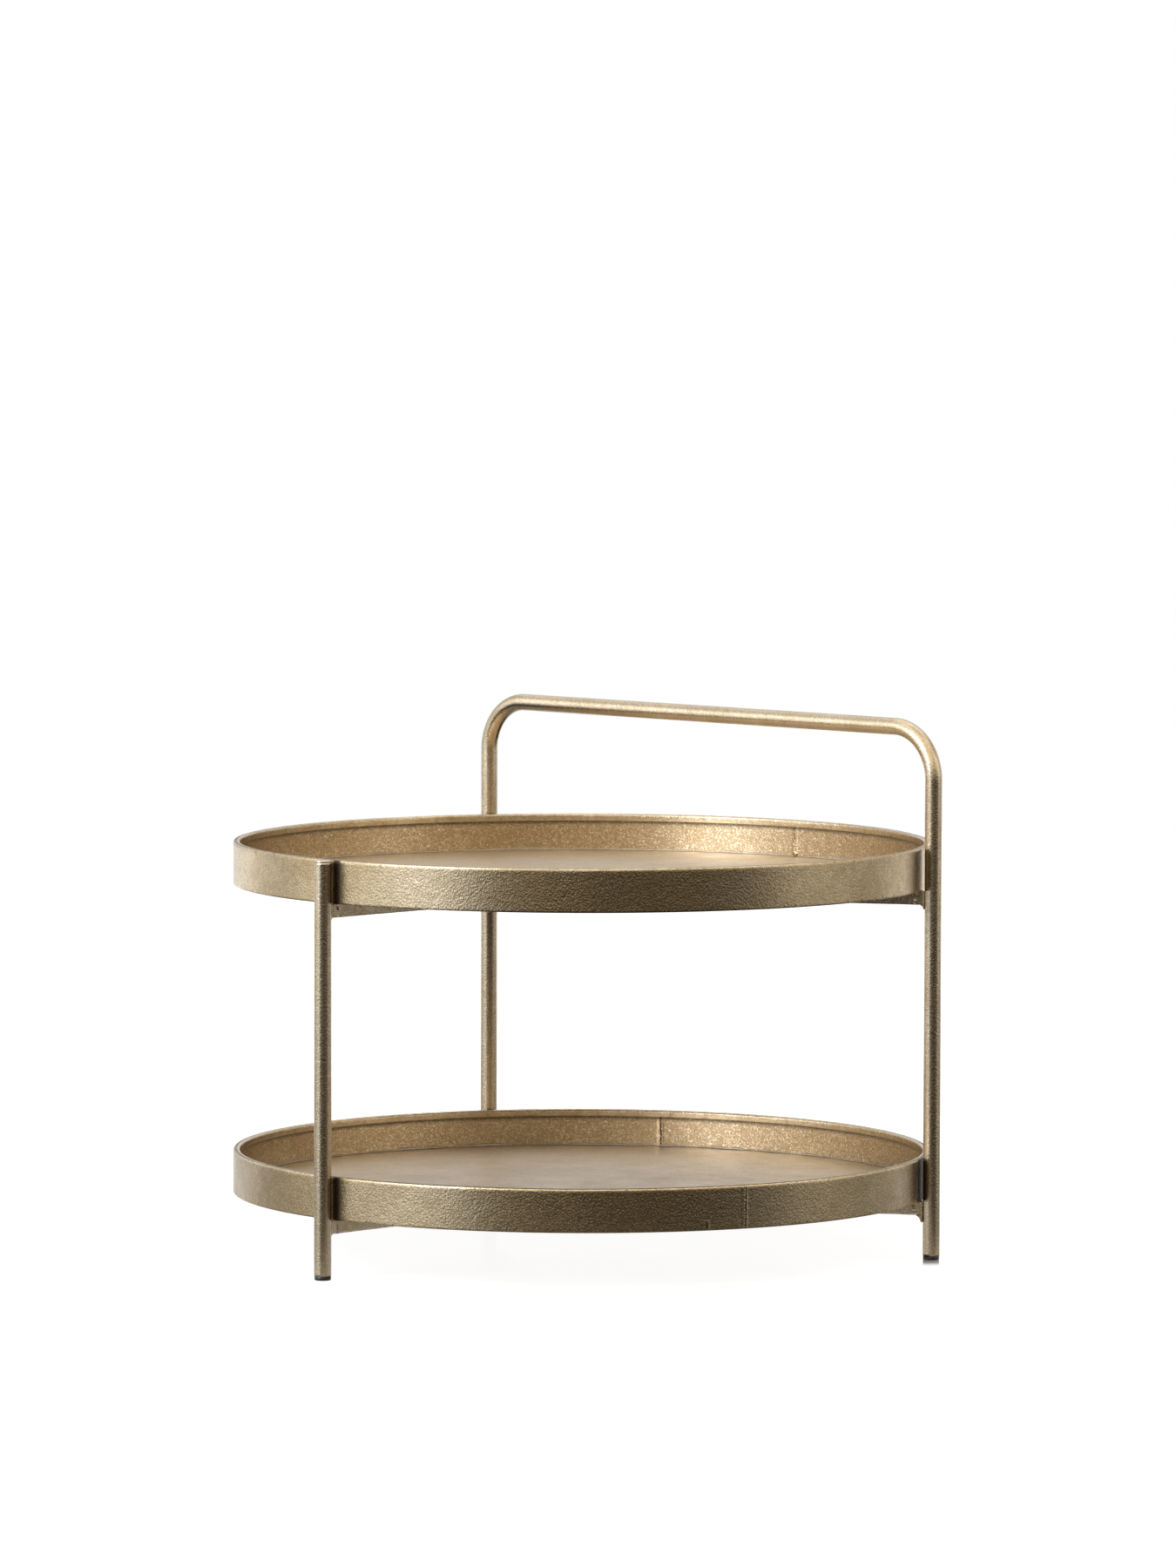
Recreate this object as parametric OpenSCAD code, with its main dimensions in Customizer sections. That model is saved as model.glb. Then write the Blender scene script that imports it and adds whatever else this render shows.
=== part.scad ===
// Round two-tier coffee table: two shallow metal trays in a frame of three tube legs.
// Two of the legs are the ends of one bent tube, whose bridge stands above the upper tray as a handle.
// All sizes are in millimetres. The table stands on z = 0 and the handle is on the +Y side.

/* [Trays] */
// Outside diameter of each tray
tray_d = 650; // [500:10:800]
// Height of each tray's wall
wall_h = 40; // [30:1:60]
// Thickness of the wall strip
wall_t = 1.5; // [1:0.1:2]
// Width of the lip folded inwards at the rim, from the wall's outer face
lip_w = 6.5; // [5.5:0.5:12]
// How far the folded lip turns down again
lip_drop = 7; // [4:0.5:12]
// Inside radius of the lip's two folds
fold_in_r = 0.5; // [0.3:0.1:1]
// Thickness of each tray's floor
floor_t = 1.5; // [1:0.1:3]
// Height of the floor's underside above the wall's bottom edge
floor_lift = 3; // [2.5:0.5:6]

/* [Heights] */
// Height of the lower tray's rim
lower_rim_z = 94; // [80:1:160]
// Height of the upper tray's rim
upper_rim_z = 382; // [320:1:420]
// Overall height, to the top of the handle
table_h = 500; // [470:1:600]

/* [Legs and handle] */
// Outside diameter of the leg tube
tube_d = 16; // [14:1:22]
// Wall thickness of the leg tube
tube_t = 1.5; // [1:0.1:2]
// Gap between each leg and the tray walls
leg_gap = 1.5; // [0.5:0.1:5]
// Radius of the handle's two bends, at the tube's centre line
bend_r = 48; // [30:1:80]
// Thickness of the disc that closes the short leg's top
cap_t = 2; // [1.5:0.5:5]
// Radius of the cap's rounded edge
cap_edge_r = 1; // [0.2:0.1:1.5]
// Depth of the cap's spigot in the tube
cap_spigot = 4; // [2:1:10]

/* [Feet] */
// Height of each foot below its tube
foot_h = 4; // [3:0.5:10]
// How far the foot's side stands back from the tube's side
foot_step = 0.4; // [0.1:0.1:1]
// Radius of the foot's rounded bottom edge
foot_edge_r = 0.8; // [0.2:0.1:1.5]
// Length of the foot's stem in the tube
stem_l = 14; // [8:1:25]
// Thickness of each fin round the stem
fin_t = 1.2; // [0.8:0.1:1.8]
// Spacing of the fins
fin_pitch = 4; // [3:0.5:6]
// How far the fins stand out from the stem's core
fin_depth = 1.5; // [0.5:0.1:2.5]

/* [Support arms] */
// Depth of the flat bar that each arm is cut from
arm_h = 16; // [10:1:25]
// Thickness of that bar
arm_t = 5; // [3:0.5:8]
// How far inside the wall the arm's notch starts
notch_run = 5; // [3.5:0.5:20]

/* [Welds] */
// Leg length of the fillet under each arm where it meets its table leg
arm_weld = 5; // [3:0.5:8]
// Leg length of the fillets on the sides of that joint
side_weld = 2; // [1:0.5:3]
// Leg length of the fillets where the three arms meet
hub_weld = 4; // [2:0.5:8]
// Leg length of the ring of weld under the floor's edge
floor_weld = 2; // [1:0.1:2.2]
// Leg length of the short tack welds between arms and floor
tack_weld = 3; // [1.5:0.5:5]
// Length of each tack weld
tack_l = 20; // [10:1:40]
// Distance from the middle of the tray to the start of the first tack weld
tack_first = 80; // [40:5:120]
// Spacing of the tack welds along an arm
tack_pitch = 90; // [60:5:150]
// Thickness of the edge of the welds at the legs
weld_toe = 0.4; // [0.2:0.1:0.8]
// Width of the bead that closes the joint in a wall strip
seam_w = 4; // [3:0.5:6]
// How far that bead stands proud of the wall
seam_proud = 0.9; // [0.6:0.1:1.2]
// Height above the floor where the bead inside a wall starts, so that flat things lie right up to the wall
seam_lift = 2.5; // [2.2:0.1:5]
// Direction of the joint in the upper tray's wall, counted from +X
upper_seam_a = 95; // [70:1:140]
// Directions of the joints in the lower tray's wall, inside and outside
lower_seam_a = 121; // [70:1:140]
lower_joint_a = 341; // [280:1:345]

/* [Fits] */
// Clearance between curved faces that seat on each other
fit = 0.3; // [0.1:0.05:0.4]

/* [Hidden] */

gold = [0.62, 0.54, 0.38];
floor_gold = [0.56, 0.48, 0.38];
bead_gold = [0.52, 0.45, 0.32];
black = [0.05, 0.05, 0.05];

tray_r = tray_d / 2;
wall_in_r = tray_r - wall_t;
tube_r = tube_d / 2;
bore_r = tube_r - tube_t;
fold_out_r = fold_in_r + wall_t;
// The legs stand evenly round the trays, on one circle
leg_circle_r = tray_r + leg_gap + tube_r;
leg_angles = [30, 150, 270];
// The trays' axis: the part's origin is below the middle of everything that the table covers
axis_y = (leg_circle_r + tube_r - tray_r) / 2;
// Distance between the two legs of the bent tube, and the height of its bridge
hoop_w = 2 * leg_circle_r * cos(leg_angles[0]);
hoop_y = axis_y + leg_circle_r * sin(leg_angles[0]);
bridge_z = table_h - tube_r;
bend_z = bridge_z - bend_r;
// The arms reach from below the wall to the floor's underside
arm_drop = arm_h - floor_lift;
notch_r = wall_in_r - notch_run;
mitre = arm_t / 2 / tan(60);
through = 1;
ring_fn = 180;
tube_fn = 64;
arc_steps = 6;

// Points along an arc, from angle a0 to a1
function arc(x, y, r, a0, a1) =
    [for (i = [0:arc_steps]) let (a = a0 + (a1 - a0) * i / arc_steps) [x + r * cos(a), y + r * sin(a)]];

// A fillet's hollow face: from the end of its leg along -x to the end of its leg along -y
function hollow(leg_x, leg_y) =
    [for (i = [0:arc_steps]) let (a = 90 * i / arc_steps) [leg_x * (sin(a) - 1), leg_y * (cos(a) - 1)]];

// Moves a shape from the trays' axis to a leg
module at_leg(leg) {
    translate([0, axis_y, 0]) rotate([0, 0, leg_angles[leg]]) translate([leg_circle_r, 0, 0]) children();
}

// Section of the wall: up, over the rim's two folds and down behind the lip
module wall_section() {
    fold_z = wall_h - fold_out_r;
    lip_r = tray_r - lip_w;
    polygon(concat(
        [[tray_r, 0]],
        arc(tray_r - fold_out_r, fold_z, fold_out_r, 0, 90),
        arc(lip_r + fold_out_r, fold_z, fold_out_r, 90, 180),
        [[lip_r, wall_h - lip_drop], [lip_r + wall_t, wall_h - lip_drop]],
        arc(lip_r + fold_out_r, fold_z, fold_in_r, 180, 90),
        arc(tray_r - fold_out_r, fold_z, fold_in_r, 90, 0),
        [[wall_in_r, 0]]
    ));
}

module tray_wall(rim_z) {
    color(gold) translate([0, axis_y, rim_z - wall_h]) rotate_extrude($fn = ring_fn) wall_section();
}

module tray_floor(rim_z) {
    color(floor_gold) translate([0, axis_y, rim_z - wall_h + floor_lift])
        cylinder(r = wall_in_r - fit, h = floor_t, $fn = ring_fn);
}

// Ring of weld in the corner between the floor's underside and the wall
module ring_weld(rim_z) {
    color(bead_gold) translate([0, axis_y, rim_z - wall_h + floor_lift])
        rotate_extrude($fn = ring_fn)
            translate([wall_in_r - fit, 0]) polygon(concat([[0, 0]], hollow(floor_weld, floor_weld)));
}

// Bead over the joint in a wall strip: it stands on the wall's face at face_r,
// on the outside, or on the inside where turn is 180
module seam_bead(rim_z, angle, face_r, turn, z0, z1) {
    bead_r = seam_w / 2;
    color(bead_gold) translate([0, axis_y, rim_z - wall_h + z0]) rotate([0, 0, angle])
        translate([face_r, 0, 0]) rotate([0, 0, turn]) linear_extrude(height = z1 - z0) difference() {
            translate([seam_proud - bead_r, 0]) circle(r = bead_r, $fn = tube_fn);
            translate([fit - seam_w, -seam_w]) square([seam_w, 2 * seam_w]);
        }
}

module inside_seam(rim_z, angle) {
    seam_bead(rim_z, angle, wall_in_r, 180, floor_lift + floor_t + seam_lift, wall_h - lip_drop);
}

module outside_seam(rim_z, angle) {
    seam_bead(rim_z, angle, tray_r, 0, 0, wall_h - fold_out_r);
}

module upper_wall_seam() {
    inside_seam(upper_rim_z, upper_seam_a);
}

// The lower wall is bent from two strips, so it has two joints
module lower_wall_seam() {
    inside_seam(lower_rim_z, lower_seam_a);
    outside_seam(lower_rim_z, lower_joint_a);
}

// Arm: a flat bar on edge under the tray, notched where the wall's edge rests on it,
// coped round its leg and mitred where it meets the other two
module arm(rim_z, leg) {
    color(gold) translate([0, axis_y, rim_z - wall_h]) rotate([0, 0, leg_angles[leg]]) difference() {
        translate([0, 0, -arm_drop]) linear_extrude(height = arm_h)
            polygon([[0, 0], [mitre, -arm_t / 2], [leg_circle_r, -arm_t / 2],
                [leg_circle_r, arm_t / 2], [mitre, arm_t / 2]]);
        translate([notch_r, -arm_t, 0])
            cube([leg_circle_r - notch_r + through, 2 * arm_t, floor_lift + through]);
        translate([leg_circle_r, 0, -arm_drop - through])
            cylinder(r = tube_r + fit, h = arm_h + 2 * through, $fn = tube_fn);
    }
}

// Distance from a leg's axis back to its side, at the distance y off the arm's middle
function side_x(y) = sqrt(pow(tube_r, 2) - pow(y, 2));

// Fillet round each arm's end: one under the arm and one on each side of it
module leg_welds(rim_z) {
    half = arm_t / 2 + side_weld;
    toe = fit + weld_toe;
    arm_z = rim_z - wall_h - arm_drop;
    color(bead_gold) for (leg = [0:2]) translate([0, 0, arm_z]) at_leg(leg) difference() {
        union() {
            rotate([90, 0, 0]) linear_extrude(height = 2 * half, center = true)
                translate([-tube_r - toe, 0])
                    polygon(concat([[tube_r, 0]], hollow(arm_weld, arm_weld), [[tube_r, -arm_weld]]));
            for (side = [0, 1]) mirror([0, side, 0]) linear_extrude(height = arm_drop)
                polygon([[0, arm_t / 2], [-side_x(arm_t / 2) - toe - side_weld, arm_t / 2],
                    [-side_x(half) - toe, half], [0, half]]);
        }
        translate([0, 0, -arm_weld - through])
            cylinder(r = tube_r + fit, h = arm_drop + arm_weld + 2 * through, $fn = tube_fn);
    }
}

// Fillets in the three corners where the arms meet
module hub_welds(rim_z) {
    corner = arm_t / 2 / sin(60);
    color(bead_gold) translate([0, axis_y, rim_z - wall_h - arm_drop])
        for (a = leg_angles) rotate([0, 0, a + 60]) translate([corner, 0, 0])
            linear_extrude(height = arm_h)
                polygon([[0, 0], [hub_weld / 2, -hub_weld * sin(60)], [hub_weld / 2, hub_weld * sin(60)]]);
}

// Short fillets in the corners between the arms' sides and the floor's underside
module tack_welds(rim_z) {
    color(bead_gold) translate([0, axis_y, rim_z - wall_h + floor_lift])
        for (a = leg_angles, side = [0, 1], x = [tack_first:tack_pitch:notch_r - tack_l])
            rotate([0, 0, a]) mirror([0, side, 0]) translate([x, -arm_t / 2, 0])
                rotate([90, 0, 90]) linear_extrude(height = tack_l)
                    polygon(concat([[0, 0]], hollow(tack_weld, tack_weld)));
}

// A straight stretch of tube, standing on the origin
module tube_run(length) {
    difference() {
        cylinder(r = tube_r, h = length, $fn = tube_fn);
        translate([0, 0, -through]) cylinder(r = bore_r, h = length + 2 * through, $fn = tube_fn);
    }
}

// A quarter bend of tube, from the +x side of its centre up to the +z side
module tube_bend() {
    rotate([90, 0, 0]) rotate_extrude(angle = 90, $fn = 2 * tube_fn) translate([bend_r, 0]) difference() {
        circle(r = tube_r, $fn = tube_fn);
        circle(r = bore_r, $fn = tube_fn);
    }
}

// Two legs and the handle in one bent tube
module handle_hoop() {
    bridge_w = hoop_w - 2 * bend_r;
    color(gold) translate([0, hoop_y, 0]) union() {
        for (side = [0, 1]) mirror([side, 0, 0]) {
            translate([hoop_w / 2, 0, foot_h]) tube_run(bend_z - foot_h);
            translate([bridge_w / 2, 0, bend_z]) tube_bend();
        }
        translate([-bridge_w / 2, 0, bridge_z]) rotate([0, 90, 0]) tube_run(bridge_w);
    }
}

module front_leg() {
    color(gold) at_leg(2) translate([0, 0, foot_h]) tube_run(upper_rim_z - cap_t - foot_h);
}

// Disc that closes the short leg's top, with a spigot in the tube
module front_leg_cap() {
    color(gold) at_leg(2) translate([0, 0, upper_rim_z - cap_t]) rotate_extrude($fn = tube_fn)
        polygon(concat(
            [[0, -cap_spigot], [bore_r - fit, -cap_spigot], [bore_r - fit, 0], [tube_r, 0]],
            arc(tube_r - cap_edge_r, cap_t - cap_edge_r, cap_edge_r, 0, 90),
            [[0, cap_t]]
        ));
}

// Push-in foot: a pad below the tube's end and a finned stem in its bore
module foot(leg) {
    pad_r = tube_r - foot_step;
    fin_r = bore_r - fit;
    core_r = fin_r - fin_depth;
    fins = [for (z = [fin_pitch:fin_pitch:stem_l - fin_t]) z];
    color(black) at_leg(leg) rotate_extrude($fn = tube_fn)
        polygon(concat(
            [[0, 0]],
            arc(pad_r - foot_edge_r, foot_edge_r, foot_edge_r, -90, 0),
            [[pad_r, foot_h], [core_r, foot_h]],
            [for (z = fins, p = [[core_r, -fin_t], [fin_r, 0], [fin_r, fin_t / 2], [core_r, fin_t]])
                [p[0], foot_h + z + p[1]]],
            [[core_r, foot_h + stem_l], [0, foot_h + stem_l]]
        ));
}

handle_hoop();
front_leg();
front_leg_cap();
foot(0);  // foot_right
foot(1);  // foot_back
foot(2);  // foot_front
tray_wall(upper_rim_z);  // upper_tray_wall
tray_floor(upper_rim_z);  // upper_tray_floor
ring_weld(upper_rim_z);  // upper_floor_weld
upper_wall_seam();
tray_wall(lower_rim_z);  // lower_tray_wall
tray_floor(lower_rim_z);  // lower_tray_floor
ring_weld(lower_rim_z);  // lower_floor_weld
lower_wall_seam();
arm(upper_rim_z, 0);  // upper_arm_right
arm(upper_rim_z, 1);  // upper_arm_back
arm(upper_rim_z, 2);  // upper_arm_front
arm(lower_rim_z, 0);  // lower_arm_right
arm(lower_rim_z, 1);  // lower_arm_back
arm(lower_rim_z, 2);  // lower_arm_front
leg_welds(upper_rim_z);  // upper_leg_welds
hub_welds(upper_rim_z);  // upper_hub_welds
tack_welds(upper_rim_z);  // upper_tack_welds
leg_welds(lower_rim_z);  // lower_leg_welds
hub_welds(lower_rim_z);  // lower_hub_welds
tack_welds(lower_rim_z);  // lower_tack_welds
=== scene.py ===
"""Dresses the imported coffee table: leafed trays, bent tube legs, flat arms, welds and feet on a pale floor.

Run it as a script. Each piece is made by its own operator, in metres, where its CAD node stands."""

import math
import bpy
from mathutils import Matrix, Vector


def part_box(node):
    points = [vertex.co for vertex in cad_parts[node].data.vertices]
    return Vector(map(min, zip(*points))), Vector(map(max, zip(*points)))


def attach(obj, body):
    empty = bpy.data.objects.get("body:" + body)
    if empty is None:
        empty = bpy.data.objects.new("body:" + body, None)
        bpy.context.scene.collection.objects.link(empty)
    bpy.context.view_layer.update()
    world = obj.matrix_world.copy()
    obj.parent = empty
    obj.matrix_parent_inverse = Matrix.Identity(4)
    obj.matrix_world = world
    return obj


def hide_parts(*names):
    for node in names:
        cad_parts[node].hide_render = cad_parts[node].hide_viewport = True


bl_info = {
    "name": "Round Two-Tier Table",
    "version": (1, 0, 0),
    "blender": (4, 5, 0),
    "location": "3D View > Sidebar > Table",
    "description": "Builds a leafed metal tray table around its CAD frame",
    "category": "Object",
}

import bmesh
import bpy
import numpy as np
from bpy.props import FloatProperty, FloatVectorProperty, IntProperty, PointerProperty
from mathutils import Matrix, Vector, noise

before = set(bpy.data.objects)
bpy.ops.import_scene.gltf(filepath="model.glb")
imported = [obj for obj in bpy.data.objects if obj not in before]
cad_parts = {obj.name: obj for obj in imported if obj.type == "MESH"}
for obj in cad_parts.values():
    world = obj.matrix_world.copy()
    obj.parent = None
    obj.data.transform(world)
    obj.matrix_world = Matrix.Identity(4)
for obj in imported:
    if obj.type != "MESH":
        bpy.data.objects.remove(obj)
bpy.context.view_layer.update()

MM = 0.001
BODY = "root"
TRAYS = ("upper", "lower")
# Each leg's name, and its direction from the trays' axis in degrees
LEGS = (("right", 30), ("back", 150), ("front", 270))


# Places and sizes read from the CAD frame


def middle(node):
    """The middle of a CAD node's box."""
    low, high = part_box(node)
    return (low + high) / 2


def half_width(node):
    """Half of a CAD node's extent along X."""
    low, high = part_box(node)
    return (high.x - low.x) / 2


def full_height(node):
    """A CAD node's extent along Z."""
    low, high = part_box(node)
    return high.z - low.z


def wall_base(tray):
    """The trays' axis at the bottom edge of a tray's wall."""
    low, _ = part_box(tray + "_tray_wall")
    centre = middle(tray + "_tray_wall")
    return Vector((centre.x, centre.y, low.z))


def leg_axis(leg):
    """The foot of a leg's centre line, on the floor."""
    centre = middle("foot_" + leg)
    return Vector((centre.x, centre.y, 0))


# Settings that a user may change


def length(name, description, default):
    """A length in metres."""
    return FloatProperty(
        name=name, description=description, default=default, min=0, unit="LENGTH", precision=5
    )


def share(name, description, default):
    """A number from 0 to 1."""
    return FloatProperty(
        name=name, description=description, default=default, min=0, max=1, subtype="FACTOR"
    )


def turn(name, description, default):
    """An angle in radians."""
    return FloatProperty(name=name, description=description, default=default, subtype="ANGLE")


def colour(name, description, default):
    """A colour without alpha."""
    return FloatVectorProperty(
        name=name, description=description, default=default, size=3, min=0, max=1, subtype="COLOR"
    )


class TraySizes(bpy.types.PropertyGroup):
    """Sizes of the two trays."""

    radius: length("Tray radius", "Radius of the wall's outer face", half_width("upper_tray_wall"))
    wall_height: length("Wall height", "Height of the wall, with its rim", full_height("upper_tray_wall"))
    wall_thickness: length("Wall thickness", "Thickness of the wall strip", 1.5 * MM)
    lip_width: length("Lip width", "Width of the lip folded inwards", 6.5 * MM)
    lip_drop: length("Lip drop", "How far the lip turns down again", 7 * MM)
    fold_radius: length("Fold radius", "Outside radius of the lip's folds", 2 * MM)
    floor_lift: length("Floor lift", "Height of the floor's underside above the wall's bottom", 3 * MM)
    floor_thickness: length("Floor thickness", "Thickness of the floor sheet", 1.5 * MM)
    segments: IntProperty(
        name="Segments", description="Steps round each wall", default=1200, min=60, max=1600
    )


class TubeSizes(bpy.types.PropertyGroup):
    """Sizes of the legs, the handle and the arms."""

    radius: length("Tube radius", "Outer radius of the leg tube", half_width("front_leg"))
    wall_thickness: length("Tube wall", "Thickness of the tube's wall", 1.5 * MM)
    bend_radius: length("Bend radius", "Radius of the handle's bends, at the centre line", 48 * MM)
    arm_thickness: length("Arm thickness", "Thickness of the flat bar under a tray", 5 * MM)
    arm_depth: length("Arm depth", "Depth of that bar", 16 * MM)
    notch_run: length("Notch run", "How far inside the wall the arm's notch starts", 5 * MM)
    segments: IntProperty(name="Segments", description="Steps round each tube", default=48, min=12, max=96)


class SurfaceWork(bpy.types.PropertyGroup):
    """Depth and size of what hammering, casting and leafing leave in the surface."""

    dent_depth: length("Dent depth", "Depth of the broad soft dents", 0.06 * MM)
    dent_size: length("Dent size", "Size of those dents", 45 * MM)
    pebble_depth: length("Pebble depth", "Depth of the cast pebble", 0.16 * MM)
    pebble_size: length("Pebble size", "Size of the pebble", 5.5 * MM)
    wrinkle_depth: length("Wrinkle depth", "Depth of the wrinkles in the leaf inside the walls", 0.22 * MM)
    wrinkle_size: length("Wrinkle size", "Spacing of those wrinkles", 7 * MM)
    seed: IntProperty(name="Seed", description="Start of everything random", default=7, min=0)


class LeafColours(bpy.types.PropertyGroup):
    """Colours and gloss of the finishes."""

    wall: colour("Tray walls", "Leaf on the tray walls", (0.69, 0.567, 0.375))
    # Painted light: the inner faces of the walls get this paler colour, standing in for the light that they
    # catch
    inside: colour("Inside the walls", "Fresher leaf inside the tray walls", (0.88, 0.75, 0.545))
    floor: colour("Tray floors", "Leaf on the tray floors", (0.66, 0.555, 0.425))
    tube: colour("Tubes", "Leaf on the legs and the handle", (0.715, 0.615, 0.46))
    arm: colour("Arms", "Leaf on the arms", (0.7, 0.59, 0.43))
    weld: colour("Welds", "Leaf on the weld beads", (0.58, 0.47, 0.31))
    # Also the colour of the painted shade under the lips and behind the legs
    crack_and_shade: colour("Cracks", "Bottom of pits and cracks", (0.045, 0.032, 0.018))
    foot: colour("Feet", "Plastic of the feet", (0.012, 0.012, 0.013))
    wall_roughness: share("Wall roughness", "Roughness of the tray walls", 0.21)
    floor_roughness: share("Floor roughness", "Roughness of the tray floors", 0.4)
    tube_roughness: share("Tube roughness", "Roughness of the tubes", 0.21)


class StudioSettings(bpy.types.PropertyGroup):
    """Camera, lamps and floor."""

    distance: length("Camera distance", "From the camera to the trays' axis, along the floor", 7.837)
    height: length("Camera height", "Height of the camera above the floor", 1.00804)
    heading: turn("Heading", "Direction of the camera's place, turned from -Y", math.radians(44.404))
    aim: turn("Aim", "Turn of the camera away from the trays' axis", math.radians(-0.0401))
    tilt: turn("Tilt", "How far the camera looks down", 0.0731)
    roll: turn("Roll", "Roll of the camera", 0.0026)
    lens: FloatProperty(
        name="Lens", description="Focal length for a 36 mm sensor, in mm", default=193.7, min=1
    )
    floor_radius: length("Floor radius", "Radius of the pale floor", 5)


class TableSettings(bpy.types.PropertyGroup):
    """Everything that the panel shows."""

    trays: PointerProperty(type=TraySizes)
    tubes: PointerProperty(type=TubeSizes)
    surface: PointerProperty(type=SurfaceWork)
    leaf: PointerProperty(type=LeafColours)
    studio: PointerProperty(type=StudioSettings)


def settings():
    """The settings that the panel shows."""
    return bpy.context.scene.table_settings


# Node trees


class Nodes:
    """Adds nodes to a tree. Inputs are values or sockets, named or by place."""

    def __init__(self, tree):
        self.tree = tree

    def feed(self, value, socket):
        """Gives a socket a value, or links another socket to it."""
        if isinstance(value, bpy.types.NodeSocket):
            self.tree.links.new(value, socket)
        else:
            socket.default_value = value

    def add(self, kind, inputs=None, **choices):
        node = self.tree.nodes.new(kind)
        for name, value in choices.items():
            setattr(node, name, value)
        for name, value in (inputs or {}).items():
            self.feed(value, node.inputs[name])
        return node

    def math(self, operation, a, b=0.0):
        return self.add("ShaderNodeMath", {0: a, 1: b}, operation=operation).outputs[0]

    def plus(self, a, b):
        return self.math("ADD", a, b)

    def minus(self, a, b):
        return self.math("SUBTRACT", a, b)

    def over(self, a, b):
        return self.math("DIVIDE", a, b)

    def larger(self, a, b):
        return self.math("MAXIMUM", a, b)

    def times(self, product, *factors):
        for factor in factors:
            product = self.math("MULTIPLY", product, factor)
        return product

    def vectors(self, operation, a, b):
        """The vector that comes of two."""
        return self.add("ShaderNodeVectorMath", {0: a, 1: b}, operation=operation).outputs["Vector"]

    def scaled(self, vector, factor):
        return self.add("ShaderNodeVectorMath", {0: vector, "Scale": factor}, operation="SCALE").outputs[0]

    def size(self, vector):
        return self.add("ShaderNodeVectorMath", {0: vector}, operation="LENGTH").outputs["Value"]

    def distance(self, a, b):
        return self.add("ShaderNodeVectorMath", {0: a, 1: b}, operation="DISTANCE").outputs["Value"]

    def dot(self, a, b):
        return self.add("ShaderNodeVectorMath", {0: a, 1: b}, operation="DOT_PRODUCT").outputs["Value"]

    def ramp(self, value, low, high, to_low=0.0, to_high=1.0):
        """A smooth step from to_low at low to to_high at high."""
        inputs = {"Value": value, "From Min": low, "From Max": high, "To Min": to_low, "To Max": to_high}
        return self.add("ShaderNodeMapRange", inputs, interpolation_type="SMOOTHSTEP").outputs[0]

    def noise(self, vector, scale, detail, roughness, seed, distortion=0.0):
        inputs = {
            "Vector": vector,
            "W": seed,
            "Scale": scale,
            "Detail": detail,
            "Roughness": roughness,
            "Distortion": distortion,
        }
        return self.add("ShaderNodeTexNoise", inputs, noise_dimensions="4D").outputs[0]

    def cells(self, vector, scale):
        """How far each place is from the nearest of many scattered points."""
        inputs = {"Vector": vector, "Scale": scale}
        return self.add("ShaderNodeTexVoronoi", inputs, feature="F1").outputs["Distance"]

    def mix(self, factor, a, b, **choices):
        """A colour between a and b."""
        return self.add("ShaderNodeMix", {0: factor, 6: a, 7: b}, data_type="RGBA", **choices).outputs[2]

    def mark(self, name):
        """A number stored at the vertices of the piece."""
        return self.add("ShaderNodeAttribute", attribute_name=name).outputs["Fac"]


def new_group(name, kind, inputs, outputs):
    """A node group with named inputs and outputs: its nodes, and the inside ends of its sockets."""
    tree = bpy.data.node_groups.new(name, kind)
    for in_out, sockets in (("INPUT", inputs), ("OUTPUT", outputs)):
        for label, socket, default in sockets:
            made = tree.interface.new_socket(label, in_out=in_out, socket_type="NodeSocket" + socket)
            if default is not None:
                made.default_value = default
    nodes = Nodes(tree)
    return nodes, nodes.add("NodeGroupInput").outputs, nodes.add("NodeGroupOutput").inputs


def built_once(name, build):
    """The node group of that name, built at its first use."""
    return bpy.data.node_groups.get(name) or build(name)


def numbers(*labels):
    """Rows of a group's sockets for numbers without a default."""
    return [(label, "Float", None) for label in labels]


# Geometry nodes

GEOMETRY = ("Geometry", "Geometry", None)
FINISH = ("Finish", "Material", None)
WEATHER_INPUTS = [
    ("Dent depth", "Float", 0.0),
    ("Dent size", "Float", 0.04),
    ("Pebble depth", "Float", 0.0),
    ("Pebble size", "Float", 0.005),
    ("Wrinkle depth", "Float", 0.0),
    ("Wrinkle size", "Float", 0.006),
    ("Seed", "Int", 0),
]
# What lies this far inside a wall's outer face may wrinkle
WRINKLED_FROM = 0.9 * MM
BEND_STEPS = 40
# Shares of a tack bead's size
SMALLEST_BEAD = (0.9, 0.85, 0.85)
LARGEST_BEAD = (1.08, 1.1, 1.1)


def build_weather(name):
    """Presses dents, pebble and wrinkles into a surface. It never stands proud of where it was."""
    inputs = [GEOMETRY, ("Wrinkle mask", "Float", 1.0), *WEATHER_INPUTS]
    n, given, made = new_group(name, "GeometryNodeTree", inputs, [GEOMETRY])
    place = n.add("GeometryNodeInputPosition").outputs[0]
    normal = n.add("GeometryNodeInputNormal").outputs[0]
    seed = given["Seed"]
    dent = n.noise(place, n.over(1.0, given["Dent size"]), 1.0, 0.4, seed)
    pebble = n.noise(place, n.over(1.0, given["Pebble size"]), 2.0, 0.55, seed)
    ridge = n.noise(place, n.over(1.0, given["Wrinkle size"]), 2.0, 0.55, n.plus(seed, 3.0), 0.6)
    ridge = n.ramp(n.math("ABSOLUTE", n.minus(ridge, 0.5)), 0.0, 0.12)
    patch = n.noise(place, n.over(0.16, given["Wrinkle size"]), 2.0, 0.5, n.plus(seed, 9.0))
    ridge = n.times(ridge, n.ramp(patch, 0.46, 0.6), given["Wrinkle mask"])
    depth = n.times(dent, given["Dent depth"])
    depth = n.plus(depth, n.times(pebble, given["Pebble depth"]))
    depth = n.plus(depth, n.times(ridge, given["Wrinkle depth"]))
    offset = n.scaled(normal, n.times(depth, -1.0))
    moved = n.add("GeometryNodeSetPosition", {"Geometry": given["Geometry"], "Offset": offset})
    n.feed(moved.outputs[0], made["Geometry"])
    return n.tree


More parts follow.
